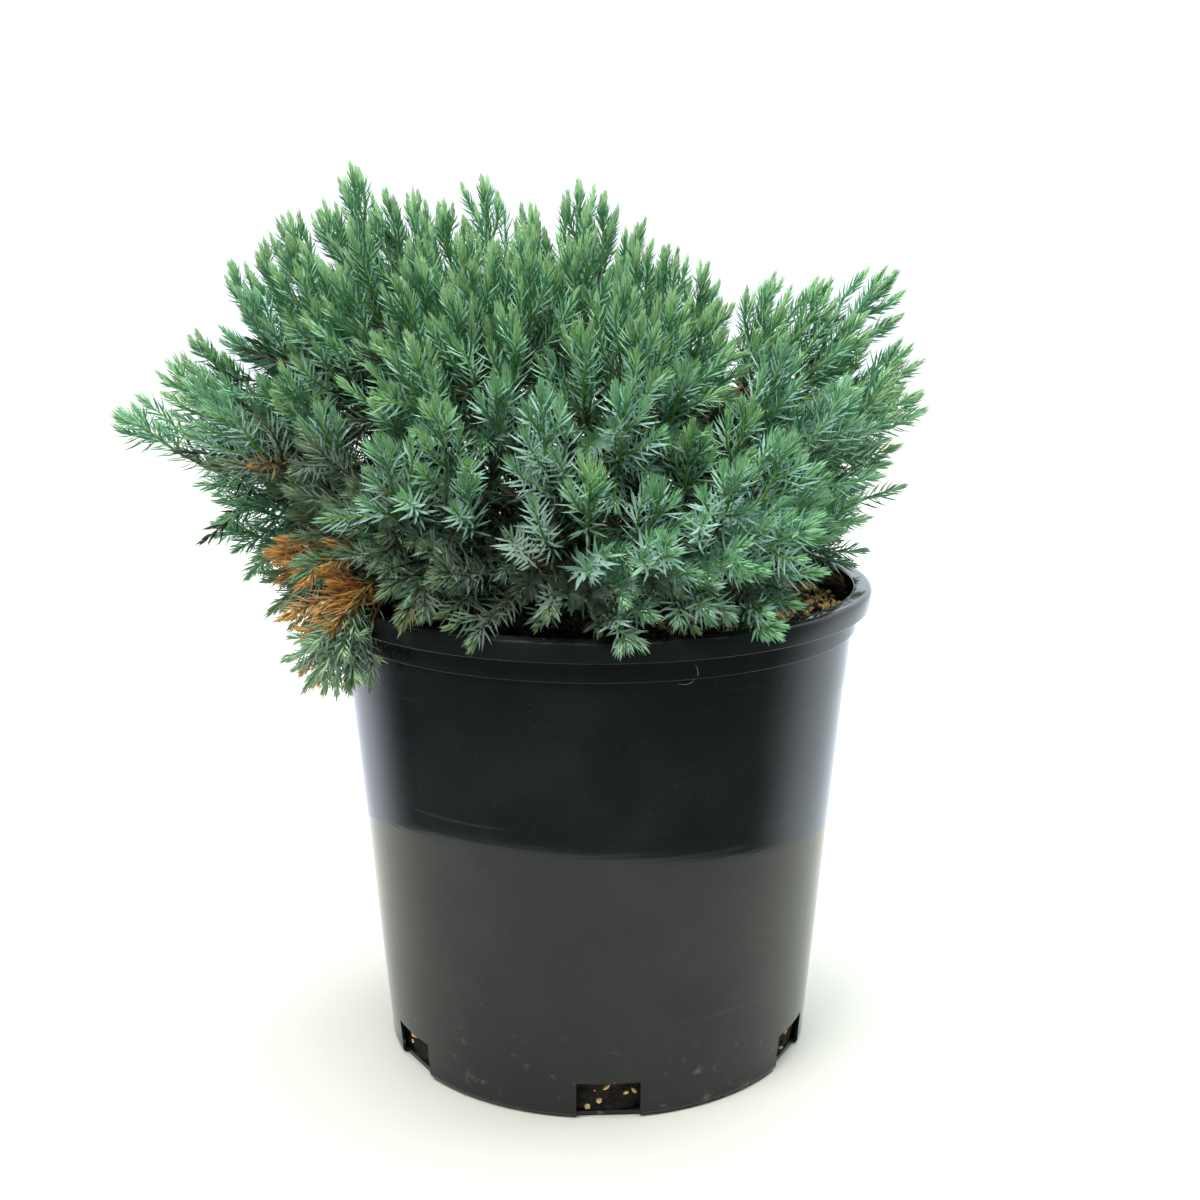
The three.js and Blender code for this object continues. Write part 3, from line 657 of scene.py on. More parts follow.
def in_space(index, points, margin):
    walls = np.delete(axes[index] - axes, index, 0)
    return ((points - HEART) @ walls.T > margin * np.linalg.norm(walls, axis=1)).all(1)


def fits(index, points, margin, wall_margin=None):
    points = np.atleast_2d(points)
    room = in_space(index, points, margin if wall_margin is None else wall_margin)
    return bool((room & clear_of_pot(points, margin) & clear_of_boughs(points, margin)).all())


# %% [markdown]
# ## Bark
#
# The stem and boughs hide deep in the crown, but light finds them from behind and from above.
# Juniper bark peels in long strips, so each limb is a tube whose radius rises and falls round it
# in ridges that wander as they climb. Real relief holds up at any angle.

# %% Stem and boughs
STEM_STEPS, STEM_RING, STEM_RELIEF = 26, 22, 0.05
LIMB_STEPS, LIMB_RING, LIMB_RELIEF = 22, 14, 0.06


def tube(points, radii, sides, relief=0, seed=0):
    """Corners and triangles of a closed tube along these points, with ridges if relief is over 0."""
    points, radii = np.asarray(points), np.asarray(radii, float)
    side, lean = square_to(points, unit(np.gradient(points, axis=0)))
    angle = np.arange(sides) * 2 * math.pi / sides
    ring = side[:, None] * np.cos(angle)[None, :, None] + lean[:, None] * np.sin(angle)[None, :, None]
    wander = np.arange(len(points))[:, None] * 0.23 + seed
    ridges = np.sin(3 * angle + wander) + np.sin(5 * angle - 1.7 * wander)
    ridges = ridges + np.sin(2.3 * wander + 2 * angle)
    size = radii[:, None] * (1 + relief * ridges)
    corners = (points[:, None] + ring * size[..., None]).reshape(-1, 3)
    last = (len(points) - 1) * sides
    caps = [[0, i + 1, i] for i in range(1, sides - 1)]
    caps += [[last, last + i, last + i + 1] for i in range(1, sides - 1)]
    return corners, np.concatenate([grid_triangles(len(points), sides), caps])


def joined(parts):
    """Several (points, triangles) as one."""
    points, triangles = zip(*parts)
    starts = np.cumsum([0] + [len(corners) for corners in points[:-1]])
    moved = [corners + start for corners, start in zip(triangles, starts)]
    return np.concatenate(points), np.concatenate(moved)


stem_shares = np.linspace(0, 1, STEM_STEPS)
stem_radii = np.interp(stem_shares, *zip(*STEM_TAPER))
stem_line = STEM_FOOT + np.outer(stem_shares, STEM_TOP - STEM_FOOT)
limbs = [tube(stem_line, stem_radii, STEM_RING, STEM_RELIEF)]
limb_radii = np.linspace(BOUGH_ROOT_RADIUS, BOUGH_TIP_RADIUS, LIMB_STEPS)
for index, mass in enumerate(masses):
    limb_line = bezier(*mass["bough"], np.linspace(0, 1, LIMB_STEPS))
    limbs.append(tube(limb_line, limb_radii, LIMB_RING, LIMB_RELIEF, index))

bark = Finish("juniper_bark", roughness=0.85)
strips = bark.noise(0.004, 4, (1, 1, 0.25))
peeling = bark.mix(strips.ramp(0.35, 0.65), colour(58, 40, 30), colour(142, 108, 80))
bark.set(base_color=peeling)
bark.bump(strips, 0.8, 0.001)
wood = mesh_piece("stem_and_boughs", *joined(limbs), [bark])
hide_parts("stem", *["bough_" + mass["name"] for mass in masses])
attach(wood, "root")
print("limbs:", len(limbs))

# %% [markdown]
# One loose fibre clings to the band, as such things do. It is a hooked hair a third of a millimetre
# thick. A tube along seven points is enough, because nobody sees more of it than its line.

# %% Stray fibre
turn = np.radians([-74, -72.6, -71.4, -70.7, -70.4, -70.6, -71])
height = np.array([221.6, 221, 221.6, 223.4, 226, 228.6, 230.4])
radius = np.where(height < BAND_FOOT + 1, wall_radius(height), BAND_RADIUS) + 0.5
fibre_line = round_axis(radius, turn, height)
hair = Finish("stray_hair", base_color=colour(150, 158, 160), roughness=0.6)
fibre = mesh_piece("stray_fibre", *tube(fibre_line, np.linspace(0.2, 0.12, 7), 5), [hair])
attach(fibre, "root")

# %% [markdown]
# ## Shoots
#
# A mass starts with the six leading shoots that its solid has, each from a twig near the middle of
# the mass to its tip. The rule then goes on with a closer spacing, so that more leaders fill the
# space between them. Every leader carries side shoots round it by the golden angle, longest at
# its foot, which makes the pointed plumes of this juniper, and the twig behind it carries short
# old shoots that close the crown.

# %% Leaders
# Further ranks of shoots: least space between tips, number of tries, reach of the longest, jitter.
RANKS = {"outer": (30, 420, LONGEST, 0.22), "inner": (33, 240, 0.7, 0.2), "heart": (30, 160, 0.48, 0.14)}
# Bare places, where no living shoot ends: centre and half sizes.
HOLLOWS = np.array([
    (-27, -118, 272, 36, 60, 40), (150, -10, 264, 26, 60, 24), (112, -62, 246, 30, 50, 30),
    (156, 0, 282, 20, 60, 12), (164, 0, 312, 16, 50, 9), (-222, 0, 290, 26, 60, 17),
    (-186, -20, 262, 12, 60, 12), (-196, 20, 378, 14, 60, 18),
], float)
BACK_SPACING, BEHIND = 1.25, 0.3  # how much further apart tips stand in masses that face so far back
LEADER_LENGTH, MOST_TIPS = 70, 90
OVERLAP = -30  # finer shoots may reach this far into the next mass's space
CROWDING = 0.22  # how much closer together the slim shoots at the top stand
SLIM_FROM, SLIM_TO = 320, 415  # heights between which shoots get slimmer
SLIM_SPREAD = 0.3  # how much less the side shoots and needles of slim shoots spread
edge_angles, edge_reaches = np.array(EDGE, float).T
edge_turn = np.radians(edge_angles)
edge_depth = EDGE_DEPTH * np.sin(edge_turn) + EDGE_STAGGER * (-1.0) ** np.arange(1, len(EDGE) + 1)
edge_x, edge_z = -edge_reaches * np.cos(edge_turn), edge_reaches * np.sin(edge_turn)
edge_tips = HEART + np.stack([edge_x, edge_depth, edge_z], 1)
fringe_share = np.linspace(0, 1, FRINGE_COUNT)
fringe_turn = np.radians(FRINGE_FROM + (FRINGE_TO - FRINGE_FROM) * fringe_share)
fringe_z = POT_HEIGHT + np.resize(FRINGE_HEIGHTS, FRINGE_COUNT)
fringe_z = fringe_z - FRINGE_HANG * np.clip(1 - fringe_share / FRINGE_HANG_SHARE, 0, 1)
fringe_tips = round_axis(FRINGE_RADIUS, fringe_turn, fringe_z)
known_tips = np.concatenate([edge_tips, fringe_tips])
known_ways = np.concatenate([axes, unit(known_tips - HEART)])
known_reach = np.concatenate([[m["reach"] for m in masses], np.linalg.norm(known_tips - HEART, axis=1)])
lifts = np.array([m["lift"] for m in masses])


def smooth_step(x, low, high):
    t = np.clip((x - low) / (high - low), 0, 1)
    return t * t * (3 - 2 * t)


def in_hollow(point):
    """Whether a point lies in one of the bare places."""
    return bool((np.linalg.norm((point - HOLLOWS[:, :3]) / HOLLOWS[:, 3:], axis=1) < 1).any())


def blend(direction, ways, values):
    """A value for this direction, mostly from the nearest directions for which it is known."""
    weights = np.exp(BLEND * (ways @ direction - 1))
    return weights @ values / weights.sum()


def edge_reach(direction):
    """How far the edge lets a shoot reach in a direction."""
    turn = math.degrees(math.atan2(direction[2], -direction[0]))
    angle = np.clip(turn + 360 if turn < -90 else turn, edge_angles[0], edge_angles[-1])
    after = max(np.searchsorted(edge_angles, angle), 1)
    share = (angle - edge_angles[after - 1]) / (edge_angles[after] - edge_angles[after - 1])
    reach = edge_reaches[after - 1] + share * (edge_reaches[after] - edge_reaches[after - 1])
    return reach * (1 - EDGE_DIP * math.sin(math.pi * share)) / math.hypot(direction[0], direction[2])


def add_tips(index, tips, random, tries, most, spacing, longest, jitter, wall_margin):
    """More shoot tips for a mass, by the golden angle, each far enough from those before it."""
    mass = masses[index]
    for k in range(tries):
        if len(tips) >= most:
            break
        share = math.sqrt(k / tries)
        direction = mass["axis"] * math.cos(SHOOT_SPREAD * share)
        side = outwards(mass["axis"], k * GOLDEN_ANGLE + random() * TURN_JITTER)
        direction = direction + side * math.sin(SHOOT_SPREAD * share)
        allowed = min(blend(direction, known_ways, known_reach), edge_reach(direction))
        reach = allowed * (longest - jitter * random())
        tip = HEART + direction * reach - UP * mass["droop"] * (longest / LONGEST) ** 2
        apart = spacing * (1 - CROWDING * smooth_step(tip[2], SLIM_FROM, SLIM_TO) * (wall_margin < 2))
        free = all(np.linalg.norm(tip - other) > apart for other in tips)
        bare = wall_margin < 2 and longest == LONGEST and in_hollow(tip)
        if free and not bare and fits(index, tip, TIP_CLEARANCE, wall_margin):
            tips.append(tip)
    return tips


def leader_line(index, tip, longest, wall_margin=None):
    """Where a leader of this length starts, or None if no lift of its end keeps it clear."""
    mass = masses[index]
    outward = unit(unit(tip - HEART) * (1 - FAN) + unit(tip - mass["middle"]) * FAN)
    lift = blend(unit(tip - HEART), axes, lifts)
    length = min(longest, np.linalg.norm(tip - mass["middle"]))
    for change in LIFT_CHANGES:
        start = tip - unit(outward + UP * (lift + change)) * length
        shoot = start + (tip - start) * LINE_CHECKS
        twig = mass["middle"] + (start - mass["middle"]) * LINE_CHECKS
        if fits(index, shoot, SHOOT_RADIUS + CLEARANCE, wall_margin) and fits(
            index, twig, TWIG_RADIUS + CLEARANCE, wall_margin
        ):
            return start
    return None


leaders = []
nearest = (unit(known_tips - HEART) @ axes.T).argmax(1)
source_rank = (SHOOTS_PER_MASS, SHOOT_SPACING, LONGEST, REACH_JITTER, TIP_CLEARANCE)
for index, mass in enumerate(masses):
    random = seeded(SEED * len(mass["name"]))
    tips = list(known_tips[nearest == index])
    tips = add_tips(index, tips, random, SHOOT_TRIES, *source_rank)
    wider = BACK_SPACING if mass["axis"][1] > BEHIND else 1
    for rank, (spacing, tries, longest, jitter) in RANKS.items():
        first = 0 if rank == "outer" else len(tips)
        tips = add_tips(index, tips, random, tries, MOST_TIPS, spacing * wider, longest, jitter, 1)
        for tip in tips[first:]:
            for length in (LEADER_LENGTH, SHOOT_LENGTH):
                start = leader_line(index, tip, length, OVERLAP)
                if start is not None:
                    leaders.append((index, start, tip, rank))
                    break
print("leading shoots:", len(leaders))

# %% [markdown]
# Colour goes by spray. The newest growth at the top is a fresh blue-green, the lower sprays carry
# more of the pale waxy bloom that gives the plant its name, old sprays are a dull olive, and a few
# at the lower left and along the rim have died and turned rust brown. In shaded places the dull
# olive is painted shade, sprays inside the crown are a dark green that is partly older growth and
# partly painted shade, and the clump over the lip is paler, partly bloom and partly painted light.

# %% What colour each spray is
DEAD_SPRAYS = [  # middle and radius of each dead place
    (-156, -64, 268, 18), (-124, -92, 251, 20), (-140, -74, 212, 13), (-88, -112, 240, 13),
    (-50, -70, 262, 9), (-52, -100, 244, 8), (-160, -62, 312, 10),
]
# Masses with old sprays, and their share.
OLD_MASSES = {"left_lower": 0.9, "front_left_hanging": 0.5, "front_lower": 0.2}
OLD_MASSES |= {"back_left": 0.4, "back": 0.4}
# Shaded places, where sprays take the dull old colour as painted shade: centre, half sizes and the
# share of them. A share over 1 takes in the side shoots too.
SHADES = np.array([(-34, -118, 256, 50, 56, 40, 2), (-146, -60, 304, 44, 52, 32, 2)], float)
FRESH_FROM, FRESH_RISE, FRESH_JITTER = 300, 110, 0.9  # growth is fresher above this height


def spray_kind(name, tip, draw):
    """The colour kind of a spray with its tip here."""
    for *centre, size in DEAD_SPRAYS:
        if np.linalg.norm(tip - centre) < size:
            return "dead"
    shaded = np.linalg.norm((tip - SHADES[:, :3]) / SHADES[:, 3:6], axis=1) < 1
    # Painted shade: in the shaded places sprays take the dull old colour.
    if draw < max(OLD_MASSES.get(name, 0), *(SHADES[:, 6] * shaded)):
        return "old"
    freshness = (tip[2] - FRESH_FROM) / FRESH_RISE + (draw - 0.5) * FRESH_JITTER
    return "fresh" if freshness > 0.5 else "blue" if freshness > -0.35 else "pale"


# %% [markdown]
# A leader runs in one curve from the middle of its mass to its tip. Side shoots stand on it and
# curve up towards its own direction, as plumes do. Modelling them by hand would take weeks, and a
# particle system would be lost in the export, so plain curves are worked out first, as lines of
# points, and the twigs and needles are then built along them.

# %% Leaders and side shoots
shoots = []  # each has points, radii, kind, how far from its tip needles grow, and cheap


def cubic(start, first, second, end, shares):
    """Points on a cubic curve."""
    s = shares[:, None]
    near = (1 - s) ** 3 * start + 3 * s * (1 - s) ** 2 * first
    return near + 3 * s**2 * (1 - s) * second + s**3 * end


def add_shoot(points, root_radius, kind, needled, cheap=False, tip_radius=0.35):
    radii = np.linspace(root_radius, tip_radius, len(points))
    made = {"points": points, "radii": radii, "kind": kind, "needled": needled, "cheap": cheap}
    shoots.append(made)


def left_to_end(points):
    """How far each point of a line is from its end, along it."""
    steps = np.linalg.norm(np.diff(points, axis=0), axis=1)
    return np.concatenate([np.cumsum(steps[::-1])[::-1], [0]])


def from_end(points, distance):
    """Places and directions on a line of points, at distances from its end."""
    left = left_to_end(points)[::-1]

    def place(x):
        return np.stack([np.interp(x, left, points[::-1, axis]) for axis in range(3)], -1)

    return place(distance), unit(place(distance - 2) - place(distance + 2))


LINE_POINTS, SIDE_POINTS = 11, 4
LEADER_RADIUS, SIDE_RADIUS = 1.5, 0.9
NEEDLED, SLIM_NEEDLED, SIDE_NEEDLED = 84, 70, 60  # how far from the tip needles grow
SIDE_FIRST, SIDE_STEP, SIDE_LAST = 9, 6.4, 64  # from the leader's tip
SIDE_SHORTEST, SIDE_LONGEST, SIDE_GROWTH = 9, 46, 0.75  # growth: by distance from the tip
SIDE_CLEARANCE, SIDE_OVERLAP = 2, -40
YOUNG_SPREAD, OLD_SPREAD = (26, 40), (40, 65)  # degrees from the leader
BARE_FOOT = 4  # without needles, where a leader starts
SPARSE = 1.5  # how much further apart the side shoots inside the crown stand
BUD = 4  # how far the last needles reach past the end of a shoot
side_numbers = np.random.default_rng(11)


def side_shoot(index, origin, along, out, length, spread):
    """A side shoot's points, curving up towards its leader's direction, or None without room."""

    def towards(angle):
        return unit(along * math.cos(angle) + out * math.sin(angle))

    for share in (1, 0.75, 0.5):
        reach = length * share
        bend = origin + towards(spread + 0.25) * reach * 0.5
        end = origin + towards(spread - 0.08) * reach
        points = bezier(origin, bend, end, np.linspace(0, 1, SIDE_POINTS))
        if fits(index, points[2:], SIDE_CLEARANCE, SIDE_OVERLAP) and not in_hollow(end):
            return points
    return None


for index, start, tip, rank in leaders:
    mass = masses[index]
    middle = mass["middle"]
    end = tip - unit(tip - start) * BUD
    bends = (middle + (start - middle) * 0.9, start + (end - start) * 0.3)
    points = cubic(middle, *bends, end, np.linspace(0, 1, LINE_POINTS))
    kind = spray_kind(mass["name"], tip, side_numbers.random())
    # Shoots of the inner ranks take the dark inner kind, partly painted shade.
    if rank != "outer":
        kind = "dead" if kind == "dead" and rank == "inner" else "inner"
    length = np.linalg.norm(np.diff(points, axis=0), axis=1).sum()
    slim = smooth_step(tip[2], SLIM_FROM, SLIM_TO)
    needled = min(length - BARE_FOOT, NEEDLED + (SLIM_NEEDLED - NEEDLED) * slim)
    add_shoot(points, LEADER_RADIUS, kind, needled)
    turn = side_numbers.uniform(0, 2 * math.pi)
    distance = SIDE_FIRST * side_numbers.uniform(0.9, 1.2)
    while distance < length - 2 * BARE_FOOT:
        origin, along = from_end(points, distance)
        out = outwards(along, turn)
        young = distance < SIDE_LAST
        side_length = np.clip(SIDE_GROWTH * distance + 3, SIDE_SHORTEST, SIDE_LONGEST)
        side_length = side_length * side_numbers.uniform(0.8, 1.15)
        spread = math.radians(side_numbers.uniform(*(YOUNG_SPREAD if young else OLD_SPREAD)))
        spread = spread * (1 - SLIM_SPREAD * slim)
        side = side_shoot(index, origin, along, out, side_length, spread)
        if side is not None:
            place_kind = spray_kind(mass["name"], side[-1], 1)
            marked = rank == "outer" and place_kind in ("dead", "old")
            # Older side shoots take the dark inner kind, partly painted shade.
            side_kind = place_kind if marked else kind if young else "inner"
            cheap = not young or rank != "outer"
            add_shoot(side, SIDE_RADIUS, side_kind, SIDE_NEEDLED, cheap)
        turn += GOLDEN_ANGLE
        crowded = 1 if young and rank == "outer" else SPARSE
        distance += SIDE_STEP * side_numbers.uniform(0.85, 1.15) * crowded
print("leaders and side shoots:", len(shoots))

# %% [markdown]
# Three places have small sprays of their own. They lie along the front of the rim, they stand in the
# dark gap above it, and a clump of them hangs over the lip at the left. Those by the rim and in the
# gap are mostly of the dull and dark kinds, partly painted shade. Each is placed by its tip and
# joined back to the nearest mass by a thin twig, so that nothing floats.

# %% Small sprays
SPRAY_LENGTH = 28
RIM_FROM, RIM_TO, RIM_DULL, RIM_DEEP = -158, -46, 0.45, 0.85  # azimuths, and shares of old and inner


def small_spray(tip, bends, kind):
    """A short spray that ends at the tip, on a thin twig that bends over from the nearest mass."""
    nearest_mass = masses[(axes @ unit(tip - HEART)).argmax()]
    points = cubic(nearest_mass["middle"], *bends, tip, np.linspace(0, 1, LINE_POINTS))
    if spray_kind("", tip, 1) == "dead":
        kind = "dead"
    clear = clear_of_pot(points, 1.5).all()
    if clear:
        add_shoot(points, SIDE_RADIUS, kind, SPRAY_LENGTH)
    return clear


RIM_SPRAYS, SHADE_SPRAYS, CLUMP_SPRAYS = 60, 34, 26
CLUMP, CLUMP_SIZE, OVER_LIP = np.array([-121, -98, 228]), 21, np.array([-104, -87, 290])
spray_numbers = np.random.default_rng(31)
grown = 0
for turn in np.radians(np.linspace(RIM_FROM, RIM_TO, RIM_SPRAYS)):
    outward = np.array([math.cos(turn), math.sin(turn), 0])
    tip = outward * spray_numbers.uniform(112, 148) + UP * spray_numbers.uniform(249, 268)
    bend = tip - unit(outward + UP * spray_numbers.uniform(-0.3, 0.4)) * SPRAY_LENGTH
    dull = spray_numbers.random()
    kind = "old" if dull < RIM_DULL else "inner" if dull < RIM_DEEP else "pale"
    grown += small_spray(tip, (bend - outward * 6, bend), kind)
for _ in range(SHADE_SPRAYS):
    tip = SHADES[0, :3] + SHADES[0, 3:6] * spray_numbers.uniform(-1, 1, 3) * [0.9, 0.3, 0.9] + [0, 26, 0]
    towards = np.array([spray_numbers.uniform(-0.6, 0.6), -1, spray_numbers.uniform(-0.1, 0.8)])
    bend = tip - unit(towards) * SPRAY_LENGTH
    grown += small_spray(tip, (bend, bend), "inner" if spray_numbers.random() < 0.5 else "old")
for k in range(CLUMP_SPRAYS):
    level = 1 - 2 * (k + 0.5) / CLUMP_SPRAYS
    around = np.array([math.cos(k * GOLDEN_ANGLE), math.sin(k * GOLDEN_ANGLE), 0])
    out = around * math.sqrt(1 - level**2) + UP * level
    tip = CLUMP + out * CLUMP_SIZE * spray_numbers.uniform(0.75, 1.1)
    # The clump takes the paler kind, partly painted light.
    grown += small_spray(tip, (OVER_LIP, CLUMP), "silver")
print("small sprays:", grown)

# %% [markdown]
# The last curve of each mass carries its bough on, from the bough's tip to the middle of the mass,
# where all its leaders start.

# %% Ends of the boughs
for mass in masses:
    _, bend, tip = mass["bough"]
    tangent = unit(tip - bend)
    halfway = (tip + mass["middle"]) / 2 + tangent * 2
    points = bezier(tip + tangent * GAP, halfway, mass["middle"], np.linspace(0, 1, 8))
    add_shoot(points, BOUGH_TIP_RADIUS, "inner", 0, True, LEADER_RADIUS)
print("shoots:", len(shoots))

# %% [markdown]
# ## Twigs
#
# Young stems are yellow-green and the wood behind them turns tan. Each is a thin tapering tube, and
# where it counts as young is dealt out by its distance from the tip.

# %% Twig mesh
YOUNG_WOOD = 40  # from the tip
TWIG_SIDES, THIN_SIDES = 5, 3
twig_parts, twig_wears = [], []
for shoot in shoots:
    sides = TWIG_SIDES if shoot["radii"][0] > 1 else THIN_SIDES
    points, triangles = tube(shoot["points"], shoot["radii"], sides)
    ring_of = triangles.min(1) // sides
    wear = np.where(left_to_end(shoot["points"])[ring_of] < YOUNG_WOOD, 0, 1)
    if shoot["kind"] in ("dead", "inner", "old"):
        wear = np.full(len(triangles), 2 if shoot["kind"] == "dead" else 1)
    twig_parts.append((points, triangles))
    twig_wears.append(wear)
TWIG_TINTS = {"young_stem": (142, 172, 84), "old_twig": (92, 74, 52), "dead_twig": (120, 78, 44)}
twig_finishes = [Finish(name, base_color=colour(*tint), roughness=0.7) for name, tint in TWIG_TINTS.items()]
twigs = mesh_piece("twigs", *joined(twig_parts), twig_finishes, np.concatenate(twig_wears))
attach(twigs, "root")
print("twig triangles:", len(twigs.data.polygons))

# %% [markdown]
# ## Needles
#
# Needles stand in rings of three. At the tip of a shoot they are short and lie along it like a bud,
# and further down they are longer and spread. Each is a slim blade, three-sided so that it
# has a keel: its outer side is green, and the inner face that looks towards the tip of the shoot
# carries the pale bloom. That one difference gives the stars of pale needles where a shoot points
# at the eye, and the green of the plumes that are seen from the side.

# %% Where needles stand
YOUNG_NEEDLES, AGED_NEEDLES = 8, 46  # from the tip of a shoot
FINE_TO = 28  # finely made needles stand this near to the tip
FINE_FRONT = 40  # and on shoots that end in front of this
BUD_LENGTH, ADDED_LENGTH = 6.2, 5.8  # at the tip, and what is added further down
BUD_SPREAD, ADDED_SPREAD, AGED_SPREAD = 14, 36, 8  # degrees, and what comes to it in two steps
BUD_GAP, ADDED_GAP = 1.3, 1.5  # from ring to ring, and what comes to it in each of two steps


def ring_distances(furthest, slim):
    """How far each ring of needles is from the end of the shoot."""
    distances, x = [], 0.4
    while x < furthest:
        distances.append(x)
        gap = (BUD_GAP + ADDED_GAP * smooth_step(x, 1, 20)) * (1 - 0.2 * slim)
        x += gap + ADDED_GAP * smooth_step(x, 36, 56)
    return np.array(distances)


needle_numbers = np.random.default_rng(23)
needles = {}  # the needles of each kind and make, a list of arrays for each shoot
for shoot in shoots:
    points = shoot["points"]
    slim = smooth_step(points[-1, 2], SLIM_FROM, SLIM_TO)
    x = ring_distances(min(shoot["needled"], left_to_end(points)[0] - 1.5), slim)
    if not len(x):
        continue
    if shoot["cheap"]:
        x = x[::2] if len(x) > 6 else x
    at, t = from_end(points, x)
    side, lean = square_to(points, t)
    count = len(x)
    turn = needle_numbers.uniform(0, 6.28) + np.arange(count)[:, None] * math.pi / 3
    turn = turn + np.arange(3) * 2 * math.pi / 3
    turn = (turn + needle_numbers.normal(0, 0.16, (count, 3)))[..., None]
    out = side[:, None] * np.cos(turn) + lean[:, None] * np.sin(turn)
    spread = BUD_SPREAD + ADDED_SPREAD * smooth_step(x, 0, 14) + AGED_SPREAD * smooth_step(x, 14, 34)
    spread = np.radians(spread)[:, None, None] * (1 - SLIM_SPREAD * slim)
    spread = spread + needle_numbers.normal(0, 0.09, (count, 3, 1))
    length = (BUD_LENGTH + ADDED_LENGTH * smooth_step(x, 0, 14))[:, None]
    length = length * needle_numbers.uniform(0.84, 1.12, (count, 3)) * (1 - 0.22 * slim)
    young = x < YOUNG_NEEDLES * needle_numbers.uniform(0.7, 1.4, count)
    role = np.where(young, 0, np.where(x > AGED_NEEDLES, 2, 1))  # young, aged or outer
    batch = {
        "base": at[:, None] + out * 0.2,
        "direction": t[:, None] * np.cos(spread) + out * np.sin(spread),
        "inner": t[:, None] * np.sin(spread) - out * np.cos(spread),
        "length": length,
        "role": np.repeat(role[:, None], 3, 1),
        "tone": np.full((count, 3), needle_numbers.integers(2)),
    }
    plain = (x < 4) | (x > FINE_TO) | shoot["cheap"] | (points[-1, 1] > FINE_FRONT)
    for cheap in (False, True):
        chosen = {k: v[plain == cheap].reshape(-1, *v.shape[2:]) for k, v in batch.items()}
        needles.setdefault((shoot["kind"], cheap), []).append(chosen)
total = sum(len(batch["length"]) for batches in needles.values() for batch in batches)
print("needles:", total)

# %% [markdown]
# Copies of one needle would have to be made real for the export, so all needles of a kind are
# worked out in one sum and joined, in pieces that stay small enough to handle. Those that are seen
# close up have eight triangles, and the rest six. A slight curve inwards keeps a shoot compact.

# %% Needle meshes
NEEDLE_WIDTH, NEEDLE_THICKNESS, INCURVE, FULL_LENGTH = 1.3, 0.5, 0.1, 12
INNER_WIDTH = 1.6  # how much wider the needles inside the crown are, to close it with fewer of them
SLIMMEST = 0.5  # how wide the shortest needles would be, as a share of the full width
# Corners of a needle: share of its length, share of its width, share of its thickness.
FINE_NEEDLE = np.array([
    [0.02, -0.36, 0], [0.02, 0.36, 0], [0.62, -0.46, 0], [0.62, 0.46, 0], [1, 0, 0], [0.4, 0, -1],
])
FINE_FACES = np.array([
    [0, 1, 3], [0, 3, 2], [2, 3, 4], [1, 0, 5], [0, 2, 5], [2, 4, 5], [4, 3, 5], [3, 1, 5],
])
PLAIN_NEEDLE = np.array([[0, 0, -0.3], [0.42, -0.5, 0], [0.42, 0.5, 0], [0.42, 0, -1], [1, 0, 0]])
PLAIN_FACES = np.array([[0, 2, 1], [1, 2, 4], [0, 1, 3], [0, 3, 2], [1, 4, 3], [2, 3, 4]])
# Fine and plain needles, each with how many of its first triangles are its inner face.
MAKES = {False: (FINE_NEEDLE, FINE_FACES, 3), True: (PLAIN_NEEDLE, PLAIN_FACES, 2)}
ROLES = ("young", "outer", "aged", "inner")
TINTS = {  # for each kind of spray, a tint for each role
    "fresh": ((164, 205, 150), (92, 152, 111), (84, 124, 86), (160, 204, 176)),
    "blue": ((150, 200, 154), (95, 156, 121), (90, 125, 92), (172, 212, 194)),
    "pale": ((152, 189, 156), (108, 154, 128), (100, 122, 96), (178, 206, 194)),
    # The clump's kind is paler, partly bloom and partly painted light for sprays that hang face down.
    "silver": ((168, 200, 158), (130, 168, 142), (124, 134, 106), (194, 218, 204)),
    "old": ((126, 150, 114), (101, 124, 98), (106, 106, 78), (152, 176, 158)),
    "dead": ((214, 168, 100), (192, 144, 80), (150, 114, 70), (218, 178, 120)),
    # Dark greens for sprays inside the crown, partly older growth and partly painted shade.
    "inner": ((68, 91, 63), (49, 69, 50), (58, 56, 42), (90, 106, 90)),
}
TONES = {"dark": 0.88, "light": 1.1}
MOST_TRIANGLES = 190_000  # in one piece


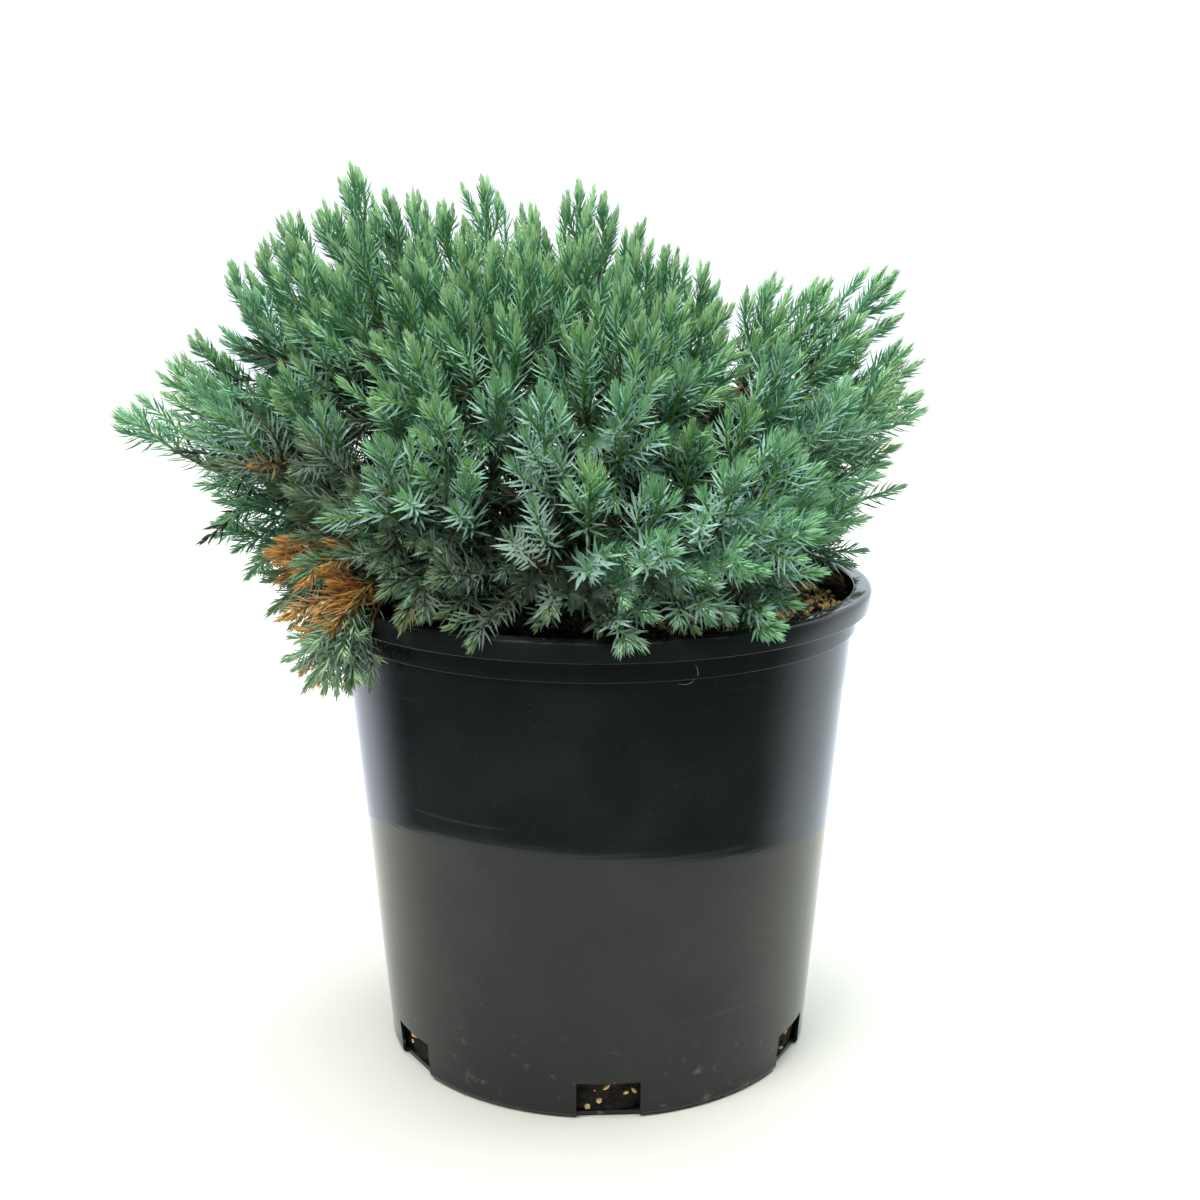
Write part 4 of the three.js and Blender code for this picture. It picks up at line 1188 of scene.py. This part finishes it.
def needle_finishes(kind):
    """The finishes of a kind: each role in a dark and a light tone."""
    finishes = []
    for role, tint in zip(ROLES, TINTS[kind]):
        for tone, light in TONES.items():
            shade = tuple(np.array(colour(*tint)) * light)
            finishes.append(Finish(f"needle_{kind}_{role}_{tone}", base_color=shade, roughness=0.5))
    return finishes


def needle_piece(name, batch, cheap, finishes, widen):
    """One mesh with all the needles of a batch."""
    shape, faces, inner_faces = MAKES[cheap]
    along, across_share, depth = shape.T
    direction, inner = batch["direction"][:, None], batch["inner"][:, None]
    sideways = np.cross(batch["direction"], batch["inner"])[:, None]
    length = batch["length"][:, None, None]
    points = batch["base"][:, None] + direction * (along[:, None] * length)
    width = NEEDLE_WIDTH * widen * (SLIMMEST + (1 - SLIMMEST) * np.minimum(length / FULL_LENGTH, 1))
    points = points + sideways * across_share[:, None] * width
    points = points + inner * ((depth * NEEDLE_THICKNESS)[:, None] + INCURVE * length * (along**2)[:, None])
    triangles = faces + len(shape) * np.arange(len(length))[:, None, None]
    wears = np.repeat((batch["role"] * 2 + batch["tone"])[:, None], len(faces), 1)
    mature = batch["role"] == ROLES.index("outer")
    wears[mature, :inner_faces] = ROLES.index("inner") * 2 + batch["tone"][mature, None]
    corners, sides = points.reshape(-1, 3), triangles.reshape(-1, 3)
    piece = mesh_piece(name, corners, sides, finishes, wears.ravel(), smooth=False)
    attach(piece, "root")
    return piece


finishes_of = {kind: needle_finishes(kind) for kind in TINTS}
for (kind, cheap), batches in sorted(needles.items()):
    batch = {key: np.concatenate([b[key] for b in batches]) for key in batches[0]}
    tips = batch["base"] + batch["direction"] * batch["length"][:, None]
    free = clear_of_pot(tips, 0.5) & clear_of_pot((tips + batch["base"]) / 2, 0.5)
    batch = {key: values[free] for key, values in batch.items()}
    count = len(batch["length"])
    share = math.ceil(count * len(MAKES[cheap][1]) / MOST_TRIANGLES)
    for part, chosen in enumerate(np.array_split(np.arange(count), share)):
        name = f"needles_{kind}{'_small' if cheap else ''}_{part + 1}"
        chosen_batch = {key: values[chosen] for key, values in batch.items()}
        widen = INNER_WIDTH if kind == "inner" else 1
        piece = needle_piece(name, chosen_batch, cheap, finishes_of[kind], widen)
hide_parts(*["foliage_" + mass["name"] for mass in masses])
